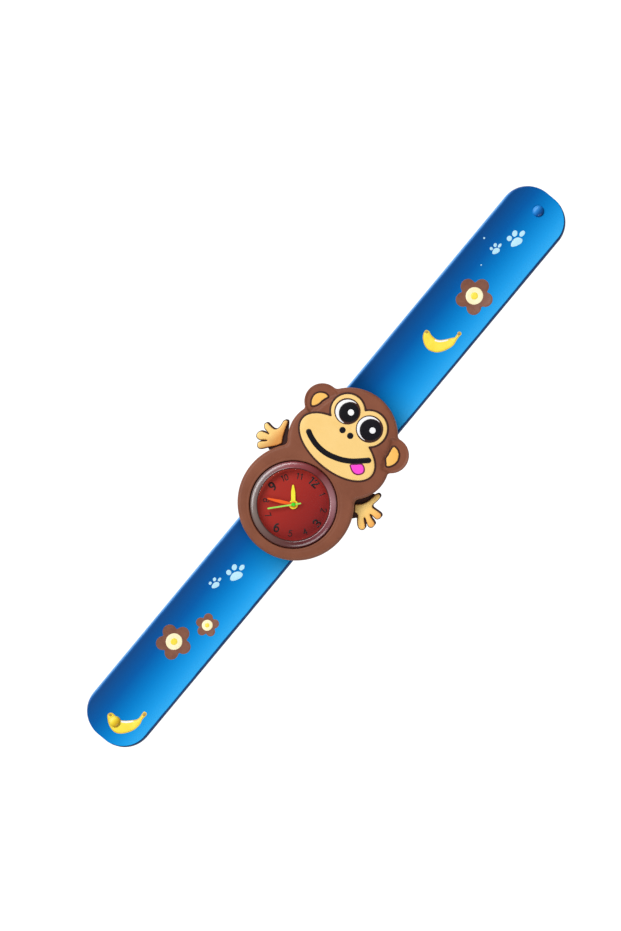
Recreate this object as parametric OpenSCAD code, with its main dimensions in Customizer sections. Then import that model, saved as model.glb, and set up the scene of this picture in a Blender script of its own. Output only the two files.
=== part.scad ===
// Toy slap watch: a soft moulded monkey figure that carries a small quartz watch,
// on a blue snap band that lies straight or curls around a wrist.
// Millimetres. Y runs along the band, with the figure's head toward +Y.
// Z is up, toward the dial. The underside of the strap keeper lies on Z = 0.

/* [Band] */
// overall length of the straight band
band_length = 225; // [200:1:240]
// overall width of the band, seen from above
band_width = 22.2; // [20:0.1:25]
// thickness of the band cover
band_thick = 1.8; // [1.4:0.1:2.4]
// inside radius of the band's shallow trough
trough_radius = 30; // [26:1:60]
// corner radius of the band's two ends
end_radius = 9.6; // [6:0.1:11]
// number of bending links in each half of the band
links = 8; // [8:1:8]
// where the upper half of the band starts to bend
upper_start = 13; // [12:0.5:20]
// where the lower half of the band starts to bend
lower_start = 19; // [18:0.5:26]
// gap between two neighbouring links
link_gap = 0.2; // [0.1:0.05:0.4]
// radius of the small dome near each end
nub_radius = 1.9; // [1:0.1:2.5]

/* [Spring strip] */
// thickness of the steel strip
strip_thick = 0.25; // [0.15:0.05:0.4]
// width of the steel strip, seen from above
strip_width = 17; // [12:0.5:18]
// length of the steel strip
strip_length = 212; // [180:1:214]
// clearance around the steel strip
strip_clear = 0.06; // [0.03:0.01:0.15]

/* [Strap keeper] */
// thickness of the keeper's plate
keeper_plate = 1.1; // [0.8:0.1:2]
// gap between the plate and the band
keeper_gap = 0.2; // [0.1:0.05:0.4]
// where the keeper ends below the body
keeper_low = -16; // [-20:0.5:-10]
// where the keeper ends below the head
keeper_high = 10; // [6:0.5:12]
// thickness of the keeper's side walls
keeper_wall = 2.0; // [1.2:0.1:3]

/* [Figure] */
// height of the figure's back above the ground
figure_back = 5.2; // [5:0.1:7]
// height of the figure's flat top above the ground
figure_top = 13.6; // [12:0.1:16]
// height of the ears above the ground
ear_top = 13.0; // [9:0.1:14]
// height of the hands' brown bases above the ground
hand_base_top = 8.5; // [7:0.1:11]
// thickness of the tan pads on the hands
hand_pad_thick = 1.1; // [0.5:0.1:2]
// depth of the pocket for the face panel
face_depth = 1.0; // [0.6:0.1:2]
// how far the face panel stands above the figure's top
face_proud = 0.3; // [0:0.05:1]
// gap around every inlaid piece
inlay_gap = 0.06; // [0.03:0.01:0.3]

/* [Watch case] */
// where the dial's centre lies along the band
dial_y = -16; // [-18:0.1:-14]
// radius of the hole in the figure for the watch
case_hole = 14.25; // [13:0.05:15]
// outer radius of the watch case
case_radius = 13.9; // [12:0.05:14]
// radius of the clear window
window_radius = 11.9; // [10:0.05:13]
// radius of the dial
dial_radius = 12.1; // [10:0.05:13]
// how far the crown can be pulled
crown_travel = 0.9; // [0.5:0.1:1.2]

/* [Hands] */
// length of the hour hand
hour_length = 6.3; // [4:0.1:8]
// length of the minute hand
minute_length = 8.5; // [6:0.1:10]
// length of the second hand
second_length = 8.3; // [6:0.1:10]
// hour hand, degrees clockwise from twelve
hour_angle = 319.5; // [0:0.5:360]
// minute hand, degrees clockwise from twelve
minute_angle = 243.5; // [0:0.5:360]
// second hand, degrees clockwise from twelve
second_angle = 221.5; // [0:0.5:360]

/* [Hidden] */
$fn = 48;
eps = 0.01;

// band
half_len = band_length / 2;
half_w = band_width / 2;
band_z = keeper_plate + keeper_gap;
out_r = trough_radius + band_thick;
half_ang = asin(half_w / out_r);
axis_z = band_z + out_r;
upper_pitch = (half_len - upper_start) / links;
lower_pitch = (half_len - lower_start) / links;
strip_mid = trough_radius + band_thick * 0.52;
strip_ang = asin(strip_width / 2 / strip_mid);

// figure outline: centre and radius of each round part
cranium = [-0.2, 12.1, 15.5];
cheeks = [0.2, 6.3, 17.6, 14];
belly = [0.15, -14.9, 18.6];
ear_l = [-13.9, 15.2, 5.75];
ear_r = [13.9, 15.9, 5.75];
muzzle = [-1, 7, 14.2, 7.5];
lobe_l = [-5.7, 18, 5.4];
lobe_r = [3.2, 18, 5.7];
eye_l = [-5.85, 17.6, 4.0];
eye_r = [3.25, 18.05, 4.35];
pupil_l = [-5.1, 17.9, 3.05];
pupil_r = [3.9, 17.95, 3.5];
glint_l = [-4.6, 18.2, 0.95];
glint_r = [4.4, 18.2, 0.95];
nostril_l = [-3.1, 12.2, 1.05];
nostril_r = [0, 12.4, 1.05];
mouth_path = [[-11.1, 4.9], [-9.3, 4.2], [-7, 3.6], [-4.7, 3.4], [-2.45, 3.45], [-0.2, 3.8],
              [2.1, 4.55], [4.35, 5.7], [6.6, 7.4], [8.2, 8.9], [9.45, 10.1]];
mouth_r = 0.87;
ear_in_l = [[-13.5, 17.45], [-14.5, 17.7], [-15.5, 17.3], [-16.4, 16.6], [-17.05, 15.3], [-16.85, 13.7],
            [-16.1, 12.45], [-15.5, 12.1], [-14.8, 12.9], [-14.3, 14.0], [-14.15, 15.3], [-13.8, 16.5]];
ear_in_r = [[12.85, 18.5], [14.0, 18.6], [15.1, 18.1], [15.9, 17.3], [16.55, 15.8], [16.4, 14.2],
            [15.7, 12.9], [15.1, 12.45], [14.5, 13.2], [13.75, 14.1], [13.6, 15.3], [13.25, 16.8]];
// outlines of the tan pads on the hands, once around
left_pad = [[-18.9, 3.1], [-18.3, 3.25], [-17.9, 2.6], [-17.5, 1.25], [-16.9, -0.25], [-16.25, -1.75],
            [-15.5, -3.0], [-15.35, -3.35], [-16.0, -4.75], [-17.0, -6.0], [-18.25, -7.5], [-19.0, -8.5],
            [-19.9, -9.15], [-20.8, -8.8], [-21.2, -7.9], [-20.7, -7.1], [-19.6, -6.1], [-19.35, -5.7],
            [-19.6, -5.55], [-20.4, -6.0], [-21.3, -6.8], [-22.3, -6.95], [-23.1, -6.45], [-23.2, -5.3],
            [-22.7, -4.6], [-21.6, -4.15], [-20.5, -3.85], [-20.15, -3.65], [-20.5, -3.5], [-21.4, -3.3],
            [-22.4, -3.1], [-23.2, -2.4], [-23.3, -1.7], [-22.7, -1.35], [-21.5, -1.5], [-20.3, -1.5],
            [-19.4, -1.0], [-19.05, 0.2], [-19.15, 1.5], [-19.3, 2.6]];
right_pad = [[19.0, 3.9], [19.6, 3.6], [19.75, 2.9], [19.7, 1.75], [19.5, 0.6], [19.55, -0.3], [20.2, -0.7],
             [21.75, -0.6], [23.2, -0.55], [23.9, -1.0], [23.9, -1.9], [23.3, -2.6], [22.3, -2.6], [21.2, -2.55],
             [20.75, -2.8], [21.2, -3.2], [22.2, -3.65], [23.3, -3.9], [24.0, -4.4], [24.0, -5.3], [23.4, -6.0],
             [22.5, -5.85], [21.5, -5.3], [20.6, -4.75], [20.05, -4.7], [20.1, -5.1], [21.0, -5.95],
             [22.0, -6.75], [22.3, -7.6], [21.75, -8.3], [20.75, -8.35], [19.6, -7.5], [18.75, -6.5],
             [18.2, -5.6], [17.4, -5.2], [16.6, -5.3], [16.0, -4.6], [15.2, -3.5], [16.25, -2.4],
             [17.2, -1.25], [17.75, 0.0], [18.0, 1.5], [18.15, 3.0], [18.5, 3.7]];
left_fingers = [[[-18.6, 2.9], [-17.9, -1.9]], [[-22.95, -1.8], [-19.5, -2.4]],
                [[-22.8, -6.0], [-19.2, -4.2]], [[-20.3, -8.5], [-18.0, -5.1]],
                [[-15.5, -3.3], [-18.6, -3.5]]];
right_fingers = [[[19.1, 3.3], [17.9, -1]], [[22.95, -0.8], [19.9, -1.2]],
                 [[22.9, -5.2], [19.9, -3.3]], [[21.3, -7.7], [18.7, -4.6]],
                 [[15.2, -3.7], [18.3, -3.2]]];
finger_r = 1.0;
hand_rim = 0.3;

// heights in the watch
pocket_floor = 6.0;
back_z = 6.1;
bridge_z = 6.9;
train_z = 7.4;
plate_z = 9.4;
motion_z = 10.2;
dial_z = 11.0;
hour_z = 11.75;
minute_z = 12.15;
second_z = 12.55;
glass_z = 13.3;
glass_top = 14.5;
stem_z = 8.6;
plate_r = 9.8;

// places in the watch movement, from the dial's centre
third_a = 135;
third_d = 3.06;
fifth_a = -110;
fifth_d = 3.0;
rotor_a = -170;
rotor_d = 2.8;
motion_a = 20;
motion_d = 2.4;
third_p = [third_d * cos(third_a), third_d * sin(third_a)];
fifth_p = [fifth_d * cos(fifth_a), fifth_d * sin(fifth_a)];
rotor_p = fifth_p + [rotor_d * cos(rotor_a), rotor_d * sin(rotor_a)];
motion_p = [motion_d * cos(motion_a), motion_d * sin(motion_a)];
rotor_dir = atan2(rotor_p[1], rotor_p[0]);
coil_p = rotor_p + 3.2 * [cos(rotor_dir), sin(rotor_dir)];
coil_e1 = coil_p + 3.0 * [cos(rotor_dir + 90), sin(rotor_dir + 90)];
coil_e2 = coil_p - 3.0 * [cos(rotor_dir + 90), sin(rotor_dir + 90)];
battery_p = [4.45, 4.45];
quartz_p = [-6.86, 2.5];
screw_p = [for (a = [98, 262, 330]) [8.4 * cos(a), 8.4 * sin(a)]];

// ---------- helpers ----------

module disc(c, grow = 0) translate([c[0], c[1]]) circle(r = c[2] + grow);

module oval(c, grow = 0)
  polygon([for (i = [0:71]) [c[0] + (c[2] + grow) * cos(i * 5), c[1] + (c[3] + grow) * sin(i * 5)]]);

// a straight bar with round ends
module capsule(a, b, r) {
  t = atan2(b[1] - a[1], b[0] - a[0]);
  polygon(concat([for (i = [0:12]) b + r * [cos(t - 90 + i * 15), sin(t - 90 + i * 15)]],
                 [for (i = [0:12]) a + r * [cos(t + 90 + i * 15), sin(t + 90 + i * 15)]]));
}

// direction of a path at its point i
function path_dir(p, i) = let (d = p[min(i + 1, len(p) - 1)] - p[max(i - 1, 0)]) atan2(d[1], d[0]);

// a bent bar with round ends along a path
module path_stroke(p, r) {
  n = len(p) - 1;
  t0 = path_dir(p, 0);
  t1 = path_dir(p, n);
  polygon(concat([for (i = [0:n - 1]) p[i] + r * [cos(path_dir(p, i) - 90), sin(path_dir(p, i) - 90)]],
                 [for (k = [0:12]) p[n] + r * [cos(t1 - 90 + k * 15), sin(t1 - 90 + k * 15)]],
                 [for (i = [1:n - 1]) p[n - i] + r * [cos(path_dir(p, n - i) + 90), sin(path_dir(p, n - i) + 90)]],
                 [for (k = [0:12]) p[0] + r * [cos(t0 + 90 + k * 15), sin(t0 + 90 + k * 15)]]));
}

module slab(z0, z1) translate([0, 0, z0]) linear_extrude(z1 - z0) children();

module at_dial() translate([0, dial_y, 0]) children();

module tube(r0, r1, z0, z1) translate([0, 0, z0]) difference() {
  cylinder(r = r1, h = z1 - z0);
  translate([0, 0, -1]) cylinder(r = r0, h = z1 - z0 + 2);
}

module post(r, z0, z1) translate([0, 0, z0]) cylinder(r = r, h = z1 - z0);

// one ring of straight-sided teeth; phase is the direction of a tooth
function tooth_points(n, m, phase) = let (rp = n * m / 2, ra = rp + 0.75 * m, rf = rp - 1.05 * m, s = 360 / n)
  [for (i = [0:n - 1]) each [
    [rf * cos(phase + (i - 0.25) * s), rf * sin(phase + (i - 0.25) * s)],
    [ra * cos(phase + (i - 0.11) * s), ra * sin(phase + (i - 0.11) * s)],
    [ra * cos(phase + (i + 0.11) * s), ra * sin(phase + (i + 0.11) * s)],
    [rf * cos(phase + (i + 0.25) * s), rf * sin(phase + (i + 0.25) * s)]]];

module toothed(n, m, phase, z0, z1) slab(z0, z1) polygon(tooth_points(n, m, phase));

// ---------- figure outlines ----------

module head_2d() { disc(cranium); oval(cheeks); }

module ears_2d() { disc(ear_l); disc(ear_r); }

module face_2d(grow = 0) { oval(muzzle, grow); disc(lobe_l, grow); disc(lobe_r, grow); }

module hands_2d(r, palm) {
  for (f = left_fingers) capsule(f[0], f[1], r);
  for (f = right_fingers) capsule(f[0], f[1], r);
  translate([-18.5, -3.2]) circle(r = palm);
  translate([18.8, -2.6]) circle(r = palm);
}

module tongue_2d(grow = 0) difference() {
  union() {
    translate([8.35, 5.9]) circle(r = 2.25 + grow);
    capsule([6.9, 5.8], [9.4, 7.4], 1.1 + grow);
  }
  path_stroke(mouth_path, mouth_r + inlay_gap - grow);
}

// middle of a list of points
function middle(p, i = 0) = i == len(p) ? [0, 0] : p[i] / len(p) + middle(p, i + 1);

// the same outline, larger about its middle
function wider(p, k) = let (c = middle(p)) [for (q = p) c + k * (q - c)];

module ear_insets_2d(k = 1) {
  polygon(wider(ear_in_l, k));
  polygon(wider(ear_in_r, k));
}

// ---------- figure ----------

module figure_body() color([0.52, 0.33, 0.26]) difference() {
  union() {
    slab(figure_back, figure_top) { head_2d(); disc(belly); }
    slab(figure_back, ear_top) ears_2d();
    slab(figure_back, hand_base_top) hands_2d(finger_r + hand_rim, 2.4);
  }
  at_dial() post(case_hole, pocket_floor, figure_top + 1);
  at_dial() translate([14, -1.8, 7.0]) cube([3.6, 3.6, 3.3]);
  slab(figure_top - face_depth, figure_top + 1) face_2d(0.35);
  slab(ear_top - 0.9, figure_top + 1) ear_insets_2d(1.15);
  for (p = keeper_pegs()) translate([p[0], p[1], 0]) post(0.95, figure_back - 1, figure_back + 2.0);
}

module face_panel() color([0.98, 0.83, 0.53]) difference() {
  slab(figure_top - face_depth, figure_top + face_proud) face_2d(0);
  slab(figure_top - 0.35, figure_top + 1) { disc(eye_l, 0.3); disc(eye_r, 0.3); }
  slab(figure_top - 0.25, figure_top + 1) {
    disc(nostril_l, inlay_gap);
    disc(nostril_r, inlay_gap);
    path_stroke(mouth_path, mouth_r + inlay_gap);
    tongue_2d(0.2);
  }
}

module ear_insets() color([0.98, 0.72, 0.36]) slab(ear_top - 0.9, ear_top + 0.05) ear_insets_2d();

module eye_whites() color([0.97, 0.97, 0.96]) difference() {
  slab(figure_top - 0.35, figure_top + face_proud + 0.15) { disc(eye_l); disc(eye_r); }
  slab(figure_top, figure_top + 2) { disc(pupil_l, inlay_gap); disc(pupil_r, inlay_gap); }
}

module pupils() color([0.05, 0.05, 0.06]) difference() {
  slab(figure_top, figure_top + face_proud + 0.3) { disc(pupil_l); disc(pupil_r); }
  slab(figure_top + 0.25, figure_top + 2) { disc(glint_l, inlay_gap); disc(glint_r, inlay_gap); }
}

module pupil_glints() color([1, 1, 1])
  slab(figure_top + 0.25, figure_top + face_proud + 0.35) { disc(glint_l); disc(glint_r); }

module nostrils() color([0.07, 0.06, 0.07])
  slab(figure_top - 0.25, figure_top + face_proud + 0.05) { disc(nostril_l); disc(nostril_r); }

module mouth_line() color([0.07, 0.06, 0.07])
  slab(figure_top - 0.25, figure_top + face_proud + 0.05) path_stroke(mouth_path, mouth_r);

module tongue() color([1.0, 0.31, 0.85])
  slab(figure_top - 0.25, figure_top + face_proud + 0.1) tongue_2d(0);

module hand_pads() color([0.98, 0.76, 0.42])
  slab(hand_base_top, hand_base_top + hand_pad_thick) difference() {
    union() { polygon(left_pad); polygon(right_pad); }
    disc(belly, 0.25);
    disc(cranium, 0.25);
    oval(cheeks, 0.25);
  }

// ---------- strap keeper ----------

function keeper_pegs() = [for (sx = [-1, 1]) for (py = [keeper_high - 9, keeper_high - 3])
  [sx * (half_w + 0.3 + keeper_wall / 2), py]];

module strap_keeper() color([0.45, 0.29, 0.23]) {
  len_k = keeper_high - keeper_low;
  wide = 2 * (half_w + 0.3 + keeper_wall);
  translate([-wide / 2, keeper_low, 0]) cube([wide, len_k, keeper_plate]);
  for (sx = [-1, 1]) {
    translate([sx * (half_w + 0.3 + keeper_wall / 2) - keeper_wall / 2, keeper_low, 0])
      cube([keeper_wall, len_k, figure_back]);
    translate([sx > 0 ? half_w - 0.4 : -half_w - 0.4, -4.8, keeper_plate + 1.2]) cube([0.8, 3.6, figure_back - keeper_plate - 1.4]);
  }
  for (p = keeper_pegs()) translate([p[0], p[1], 0]) post(0.9, figure_back - 0.5, figure_back + 1.9);
}

// ---------- watch case ----------

module case_cup() color([0.6, 0.3, 0.29]) at_dial() difference() {
  rotate_extrude($fn = 96) polygon([[12.3, back_z], [case_radius, back_z], [case_radius, 11.6],
                                    [12.3, 11.6]]);
  translate([11, 0, stem_z]) rotate([0, 90, 0]) cylinder(r = 0.48, h = 4);
}

module crystal() color([0.9, 0.92, 0.95, 0.5]) at_dial() rotate_extrude($fn = 96)
  polygon([[0, glass_z], [window_radius - 0.5, glass_z], [window_radius, glass_z - 0.4], [window_radius, 11.45],
           [12.25, 11.45], [12.25, 11.6], [case_radius, 11.6], [case_radius, 12.9], [13.6, 13.5],
           [window_radius + 0.35, glass_top - 0.2], [window_radius - 0.1, glass_top], [0, glass_top]]);

module case_back() color([0.75, 0.76, 0.78]) at_dial() post(12.25, back_z, 6.7);

module movement_holder() color([0.9, 0.9, 0.88]) at_dial() difference() {
  tube(plate_r + 0.05, 12.25, 6.7, dial_z);
  translate([8, 0, stem_z]) rotate([0, 90, 0]) cylinder(r = 0.48, h = 5);
}

// dial with a raised, sloping rim
module dial_plate() color([0.6, 0.14, 0.13]) at_dial() rotate_extrude($fn = 96)
  polygon([[0.75, dial_z], [dial_radius, dial_z], [dial_radius, dial_z + 0.4], [window_radius - 0.05, dial_z + 0.4],
           [window_radius - 0.05, dial_z + 1.3], [window_radius - 0.2, dial_z + 1.3],
           [window_radius - 1.1, dial_z + 0.4], [0.75, dial_z + 0.4]]);

module hand_blade(len_h, tail, w0, w1, hub, z, bore) difference() {
  slab(z, z + 0.2) {
    circle(r = hub);
    polygon([[-w0 / 2, -tail], [w0 / 2, -tail], [w0 / 2, 0], [w1 / 2, len_h - w1 / 2], [w1 / 4, len_h],
             [-w1 / 4, len_h], [-w1 / 2, len_h - w1 / 2], [-w0 / 2, 0]]);
  }
  post(bore, z - 1, z + 1);
}

module hour_hand() color([1, 0.95, 0.35]) at_dial() rotate(-hour_angle)
  hand_blade(hour_length, 0, 1.0, 0.8, 1.45, hour_z, 0.61);

module minute_hand() color([1, 0.42, 0.13]) at_dial() rotate(-minute_angle)
  hand_blade(minute_length, 0, 0.85, 0.65, 1.15, minute_z, 0.36);

module second_hand() color([0.5, 0.85, 0.25]) at_dial() rotate(-second_angle)
  hand_blade(second_length, 2.4, 0.45, 0.4, 0.7, second_z, 0.13);

// ---------- movement: plates and fixed pieces ----------

module main_plate() color([0.25, 0.25, 0.27]) at_dial() {
  difference() {
    union() {
      post(plate_r, plate_z, motion_z);
      for (p = screw_p) translate([p[0], p[1], 0]) post(0.75, train_z, plate_z + 0.1);
      translate([5.0, -1.0, 8.0]) cube([1.2, 2.0, plate_z - 7.9]);
      translate([motion_p[0], motion_p[1], 0]) post(0.2, motion_z - 0.1, 10.96);
    }
    post(0.40, plate_z - 1, motion_z + 1);
    translate([third_p[0], third_p[1], 0]) post(0.15, plate_z - 1, motion_z - 0.2);
    translate([fifth_p[0], fifth_p[1], 0]) post(0.15, plate_z - 1, motion_z - 0.2);
    translate([rotor_p[0], rotor_p[1], 0]) post(0.15, plate_z - 1, motion_z - 0.2);
    for (p = screw_p) translate([p[0], p[1], 0]) post(0.30, train_z - 1, plate_z - 0.2);
    translate([4, 0, stem_z]) rotate([0, 90, 0]) cylinder(r = 0.43, h = 4);
  }
}

module train_bridge() color([0.72, 0.73, 0.75]) at_dial() difference() {
  post(plate_r - 0.1, bridge_z, train_z);
  translate([battery_p[0], battery_p[1], 0]) post(3.5, bridge_z - 1, train_z + 1);
  post(0.15, bridge_z - 1, train_z + 1);
  translate([third_p[0], third_p[1], 0]) post(0.15, bridge_z - 1, train_z + 1);
  translate([fifth_p[0], fifth_p[1], 0]) post(0.15, bridge_z - 1, train_z + 1);
  translate([rotor_p[0], rotor_p[1], 0]) post(0.15, bridge_z - 1, train_z + 1);
  for (p = screw_p) translate([p[0], p[1], 0]) post(0.32, bridge_z - 1, train_z + 1);
}

module bridge_screws() color([0.6, 0.6, 0.62]) at_dial() for (p = screw_p) translate([p[0], p[1], 0]) difference() {
  union() { post(0.6, 6.73, bridge_z); post(0.28, bridge_z - 0.05, 9.0); }
  translate([-0.8, -0.08, 6.6]) cube([1.6, 0.16, 0.2]);
}

module stator() color([0.62, 0.62, 0.64]) at_dial() slab(8.5, 8.9) difference() {
  union() {
    translate(rotor_p) circle(r = 2.0);
    capsule(rotor_p, coil_e1, 0.6);
    capsule(rotor_p, coil_e2, 0.6);
  }
  translate(rotor_p) circle(r = 1.15);
}

module coil_core() color([0.55, 0.55, 0.57]) at_dial() slab(8.1, 8.5) {
  translate(coil_e1) circle(r = 0.6);
  translate(coil_e2) circle(r = 0.6);
  translate(coil_p) rotate(rotor_dir + 90) square([6.0, 0.7], center = true);
}

module coil_winding() color([0.72, 0.4, 0.2]) at_dial() translate([coil_p[0], coil_p[1], 8.3])
  rotate([0, 0, rotor_dir + 90]) difference() {
    translate([-1.35, 0, 0]) rotate([0, 90, 0]) cylinder(r = 0.75, h = 2.7);
    translate([-4, -0.37, -0.22]) cube([8, 0.74, 0.44]);
  }

module circuit_board() color([0.1, 0.4, 0.2]) at_dial() difference() {
  slab(9.05, 9.35) intersection() {
    difference() { circle(r = 9.4); circle(r = 5.4); }
    polygon([[-1.6, 2.5], [-1.6, 14], [-14, 14], [-14, -0.8], [-4, -0.8]]);
  }
  for (p = screw_p) translate([p[0], p[1], 0]) post(0.85, 8, 10);
}

module quartz_can() color([0.8, 0.8, 0.82]) at_dial() translate([quartz_p[0], quartz_p[1], 8.3])
  rotate([0, 0, 70]) translate([-2.5, 0, 0]) rotate([0, 90, 0]) cylinder(r = 0.75, h = 5);

module battery() color([0.82, 0.82, 0.8]) at_dial() translate([battery_p[0], battery_p[1], 0]) rotate_extrude($fn = 64)
  polygon([[0, 6.92], [2.6, 6.92], [2.6, 7.02], [3.4, 7.22], [3.4, 9.02], [0, 9.02]]);

module battery_clip() color([0.8, 0.7, 0.4]) at_dial() slab(6.74, bridge_z) difference() {
  union() {
    capsule(battery_p, [7.6, -0.6], 0.7);
    capsule([7.6, -0.6], screw_p[2] + [0.1, 1.6], 0.7);
  }
  translate(screw_p[2]) circle(r = 0.7);
}

// ---------- movement: turning pieces ----------

module rotor() color([0.35, 0.35, 0.38]) at_dial() translate([rotor_p[0], rotor_p[1], 0]) {
  post(0.13, 7.0, 9.9);
  toothed(8, 0.1, rotor_a + 180, 7.9, 8.4);
  post(0.9, 8.45, 9.1);
  post(0.25, 8.38, 8.47);
}

module fifth_wheel() color([0.85, 0.8, 0.7]) at_dial() translate([fifth_p[0], fifth_p[1], 0]) {
  post(0.13, 7.0, 9.9);
  toothed(48, 0.1, rotor_a + 180 / 48, 8.1, 8.3);
  toothed(10, 0.1, fifth_a + 180, 7.5, 7.9);
  post(0.3, 7.85, 8.15);
}

module seconds_wheel() color([0.8, 0.68, 0.38]) at_dial() {
  post(0.12, 7.0, 12.85);
  toothed(50, 0.1, fifth_a + 180 / 50, 7.6, 7.8);
  toothed(8, 0.09, third_a, 8.3, 8.7);
  post(0.26, 7.75, 8.35);
}

module third_wheel() color([0.85, 0.8, 0.7]) at_dial() translate([third_p[0], third_p[1], 0]) {
  post(0.13, 7.0, 9.9);
  toothed(60, 0.09, third_a + 180 + 180 / 60, 8.4, 8.6);
  toothed(8, 0.085, third_a + 180, 8.85, 9.3);
  post(0.24, 8.55, 8.9);
}

module centre_wheel() color([0.8, 0.68, 0.38]) at_dial() difference() {
  union() {
    toothed(64, 0.085, third_a + 180 / 64, 9.0, 9.2);
    post(0.35, 8.95, 12.42);
    toothed(12, 0.1, motion_a, 10.3, 10.6);
  }
  post(0.17, 8, 13);
}

module minute_wheel() color([0.9, 0.9, 0.88]) at_dial() translate([motion_p[0], motion_p[1], 0]) difference() {
  union() {
    toothed(36, 0.1, motion_a + 180 + 180 / 36, 10.35, 10.55);
    toothed(10, 0.096, motion_a + 180, 10.5, 10.92);
  }
  post(0.24, 10, 12);
}

module hour_wheel() color([0.8, 0.68, 0.38]) at_dial() difference() {
  union() {
    toothed(40, 0.096, motion_a + 180 / 40, 10.68, 10.88);
    post(0.60, 10.66, 12.02);
  }
  post(0.42, 10, 13);
}

// ---------- crown ----------

module setting_lever() color([0.7, 0.7, 0.72]) at_dial() difference() {
  translate([7.0, -3.0, 8.0]) cube([0.5, 4.0, 1.2]);
  translate([6, 0, stem_z]) rotate([0, 90, 0]) cylinder(r = 0.44, h = 3);
}

module setting_stem() color([0.7, 0.7, 0.72]) at_dial() translate([0, 0, stem_z]) rotate([0, 90, 0]) {
  translate([0, 0, 4.3]) cylinder(r = 0.40, h = 10.2);
  translate([0, 0, 6.78]) cylinder(r = 0.62, h = 0.2);
  translate([0, 0, 7.52]) cylinder(r = 0.62, h = 0.2);
}

module crown_knob() color([0.85, 0.85, 0.86]) at_dial() translate([14.3, 0, stem_z]) rotate([0, 90, 0]) difference() {
  cylinder(r = 1.4, h = 2.0);
  translate([0, 0, -1]) cylinder(r = 0.42, h = 1.3);
  for (i = [0:15]) rotate(i * 22.5) translate([1.4, 0, -1]) cylinder(r = 0.13, h = 4, $fn = 4);
}

// ---------- band ----------

module arc_2d(r0, r1, ang) difference() {
  intersection() {
    circle(r = r1, $fn = 180);
    polygon([[0, 0], [2 * r1 * sin(ang), -2 * r1 * cos(ang)], [-2 * r1 * sin(ang), -2 * r1 * cos(ang)]]);
  }
  circle(r = r0, $fn = 180);
}

// a length of trough from y0 to y1
module trough(y0, y1, r0, r1, ang) translate([0, y1, axis_z]) rotate([90, 0, 0]) linear_extrude(y1 - y0) arc_2d(r0, r1, ang);

module band_plan() {
  square([2 * half_w, 2 * (half_len - end_radius)], center = true);
  square([2 * (half_w - end_radius), 2 * half_len], center = true);
  for (sx = [-1, 1]) for (sy = [-1, 1])
    translate([sx * (half_w - end_radius), sy * (half_len - end_radius)]) circle(r = end_radius);
}

module strip_slot() trough(-strip_length / 2 - 0.2, strip_length / 2 + 0.2, strip_mid - strip_thick / 2 - strip_clear,
                           strip_mid + strip_thick / 2 + strip_clear, strip_ang + 0.2);

module band_part(y0, y1) color([0.08, 0.42, 0.78]) difference() {
  trough(y0, y1, trough_radius, out_r, half_ang);
  strip_slot();
}

module band_end(y0, y1, nub) color([0.08, 0.42, 0.78]) difference() {
  union() {
    intersection() {
      trough(y0 < 0 ? y0 - 2 : y0, y0 < 0 ? y1 : y1 + 2, trough_radius, out_r, half_ang);
      slab(-1, 11) band_plan();
    }
    intersection() {
      translate([nub[0], nub[1], band_z + band_thick - 0.7]) sphere(r = nub_radius + 0.1);
      translate([nub[0] - 4, nub[1] - 4, band_z + band_thick - 0.4]) cube([8, 8, 5]);
    }
  }
  strip_slot();
}

module band_middle() color([0.08, 0.42, 0.78]) difference() {
  band_part(-lower_start + link_gap / 2, upper_start - link_gap / 2);
  for (sx = [-1, 1]) translate([sx > 0 ? half_w - 0.6 : -half_w - 1.4, -5, 0]) cube([2, 4, 10]);
}

module spring_strip() color([0.75, 0.77, 0.8])
  trough(-strip_length / 2, strip_length / 2, strip_mid - strip_thick / 2, strip_mid + strip_thick / 2, strip_ang);

module upper_link(i) {
  y0 = upper_start + (i - 1) * upper_pitch + link_gap / 2;
  y1 = upper_start + i * upper_pitch - link_gap / 2;
  if (i < links) band_part(y0, y1);
  else band_end(y0, half_len, [0.4, 106.2]);
}

module lower_link(i) {
  y0 = -lower_start - (i - 1) * lower_pitch - link_gap / 2;
  y1 = -lower_start - i * lower_pitch + link_gap / 2;
  if (i < links) band_part(y1, y0);
  else band_end(-half_len, y0, [0.5, -106.1]);
}

figure_body();
face_panel();
ear_insets();
eye_whites();
pupils();
pupil_glints();
nostrils();
mouth_line();
tongue();
hand_pads();
strap_keeper();
case_cup();
crystal();
case_back();
movement_holder();
dial_plate();
hour_hand();
minute_hand();
second_hand();
main_plate();
train_bridge();
bridge_screws();
stator();
coil_core();
coil_winding();
circuit_board();
quartz_can();
battery();
battery_clip();
rotor();
fifth_wheel();
seconds_wheel();
third_wheel();
centre_wheel();
minute_wheel();
hour_wheel();
setting_lever();
setting_stem();
crown_knob();
spring_strip();
band_middle();
upper_link(1);  // upper_link_1
upper_link(2);  // upper_link_2
upper_link(3);  // upper_link_3
upper_link(4);  // upper_link_4
upper_link(5);  // upper_link_5
upper_link(6);  // upper_link_6
upper_link(7);  // upper_link_7
upper_link(8);  // upper_link_8
lower_link(1);  // lower_link_1
lower_link(2);  // lower_link_2
lower_link(3);  // lower_link_3
lower_link(4);  // lower_link_4
lower_link(5);  // lower_link_5
lower_link(6);  // lower_link_6
lower_link(7);  // lower_link_7
lower_link(8);  // lower_link_8
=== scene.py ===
import math

import bpy
import numpy as np
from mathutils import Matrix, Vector
from mathutils.geometry import delaunay_2d_cdt


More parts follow.
